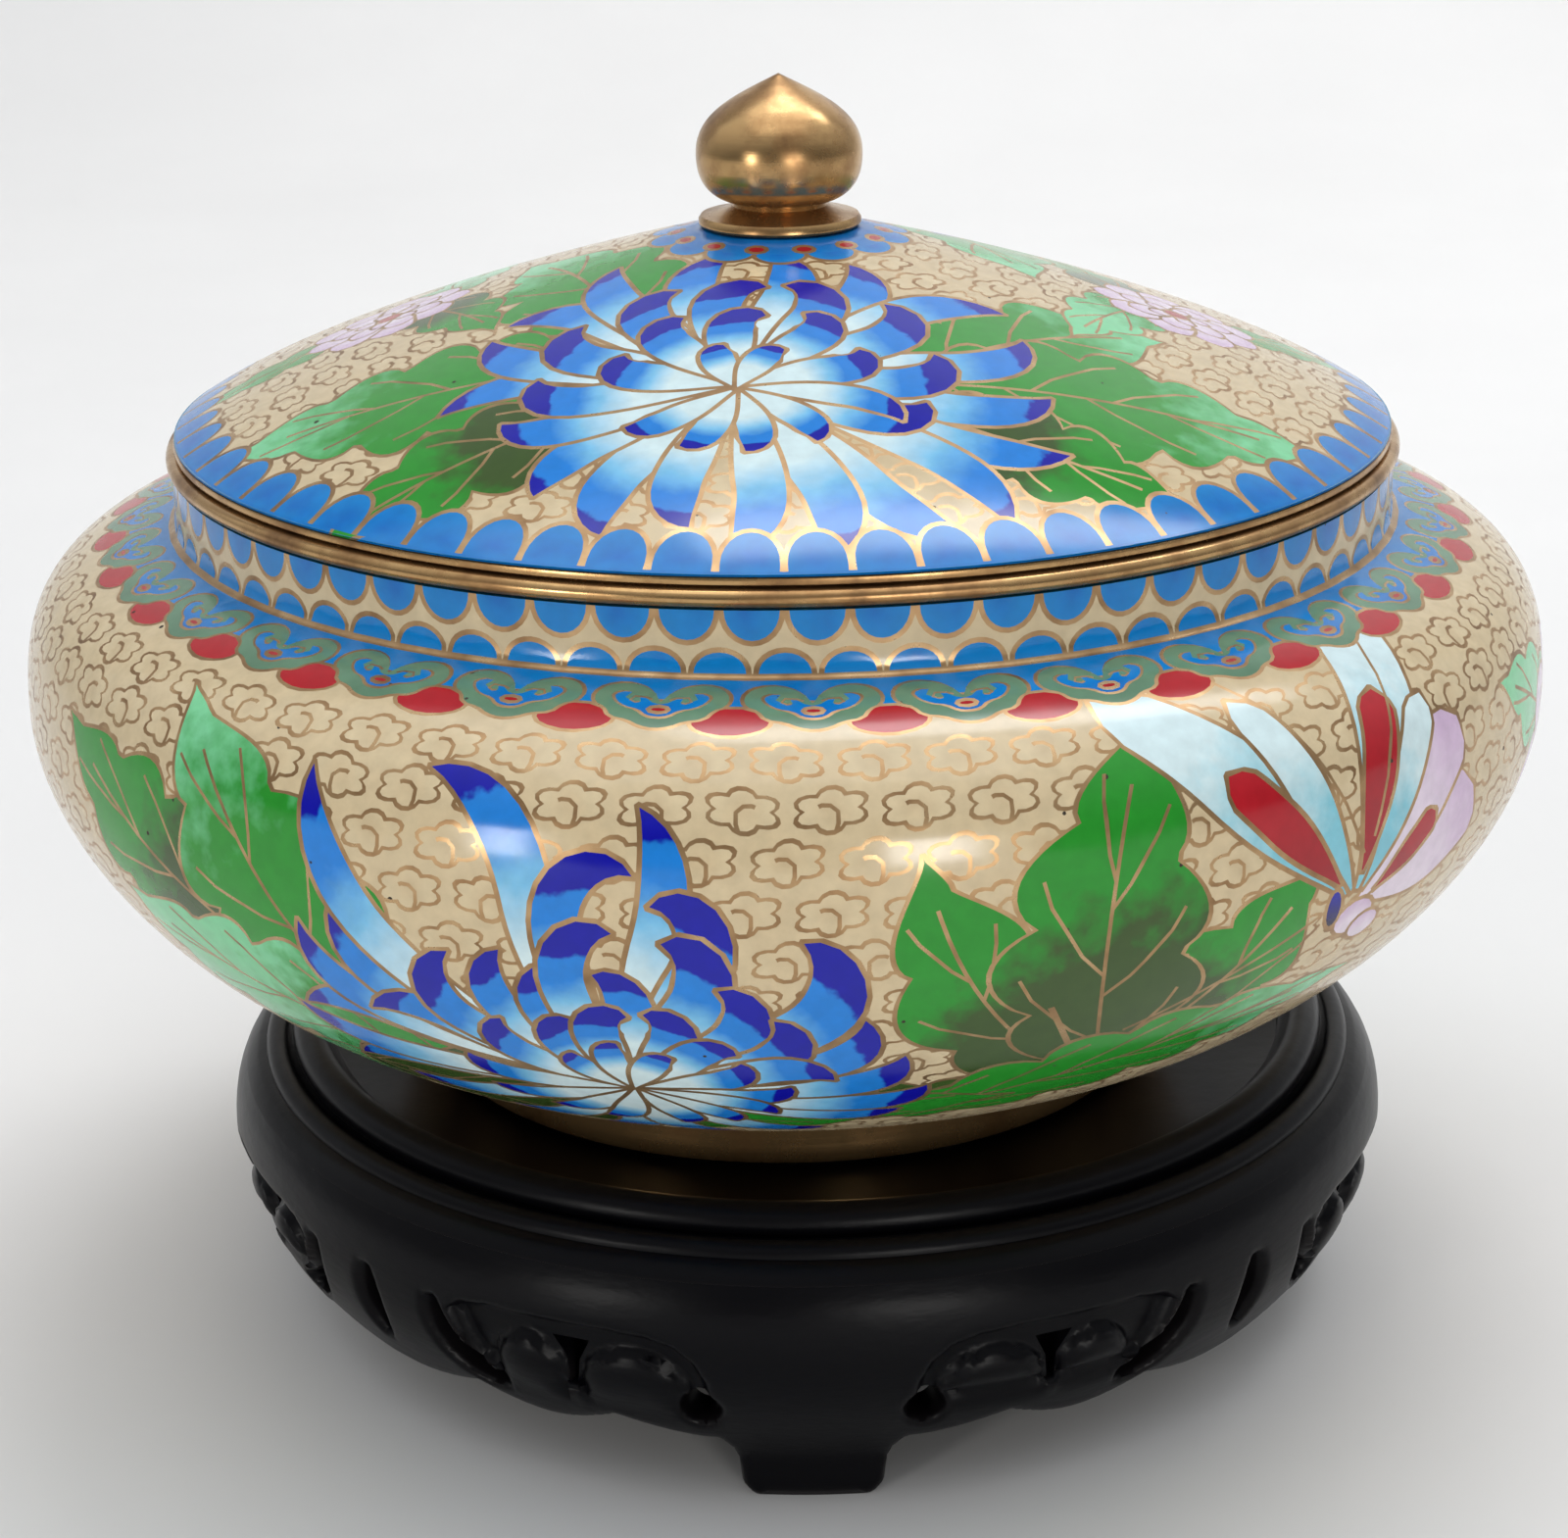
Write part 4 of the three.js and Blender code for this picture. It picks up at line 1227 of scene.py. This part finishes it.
for i in range(COLLAR_SCALLOPS):
    lid_shapes += on_lid(scallop(8.2, 3.4, -1), 360 * i / COLLAR_SCALLOPS, 17.4)
lid_shapes.append((lid_circle * 17.8, "sky", (0, 0), (0, 30)))
for i in range(COLLAR_SCALLOPS):
    lid_shapes += on_lid(blob((0, 0), 1.6, 1.2, "red", 10), 360 * (i + 0.5) / COLLAR_SCALLOPS, 16.2)
edge_pitch = 2 * math.pi * 93.0 / LID_SCALLOPS
for i in range(LID_SCALLOPS):
    lid_shapes += on_lid(scallop(edge_pitch - 0.2, 5.6, 1), 360 * (i + 0.5) / LID_SCALLOPS, SCALLOP_LINE)
lid_loose = []
for radius in np.linspace(3, 93, 28):
    for turn in np.linspace(0, 2 * math.pi, max(int(radius * 1.7), 8), endpoint=False):
        lid_loose.append((radius * math.sin(turn), radius * math.cos(turn)))


def lid_inside(points):
    return np.hypot(points[:, 0], points[:, 1]) < LID_EDGE


lid = enamel_sheet("lid", lid_shapes, lid_circle * LID_EDGE, lid_loose, lid_inside, lid_space)
lid_in = np.concatenate([
    [(95.4, 146.6), (90.9, 146.6)],
    cubic((90.9, 146.6), (77.2, 153.7), (42, 165.5), (13, 172.8), 24)[1:],
    [(0, 172.8)],
])
lid_lining = turned("lid_lining", lid_in, 144, counter_enamel)
lid_lining.data.uv_layers.new(name="cell")
for piece in (lid, lid_lining):
    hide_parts("lid")
    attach(piece, "root")

# Knob: a cast and turned brass onion bud on a stepped disc, screwed down through the lid's crown.
# It is the same brass as the rims, rubbed smooth by handling.
knob_line = np.concatenate([
    [(0, 175.9), (12.3, 175.9), (12.7, 176.3), (12.7, 176.9), (12.3, 177.5)],
    [(10.8, 177.7), (9.6, 178.1), (8.4, 178.5), (7.4, 178.9)],
    cubic((7.1, 179.4), (11.5, 180.4), (12.95, 183), (12.95, 187), 18),
    cubic((12.95, 187), (12.95, 193), (7, 195.6), (0, 199.1), 28)[1:],
])
knob = turned("knob", knob_line, 96, brass, 35)
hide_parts("knob")
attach(knob, "root")
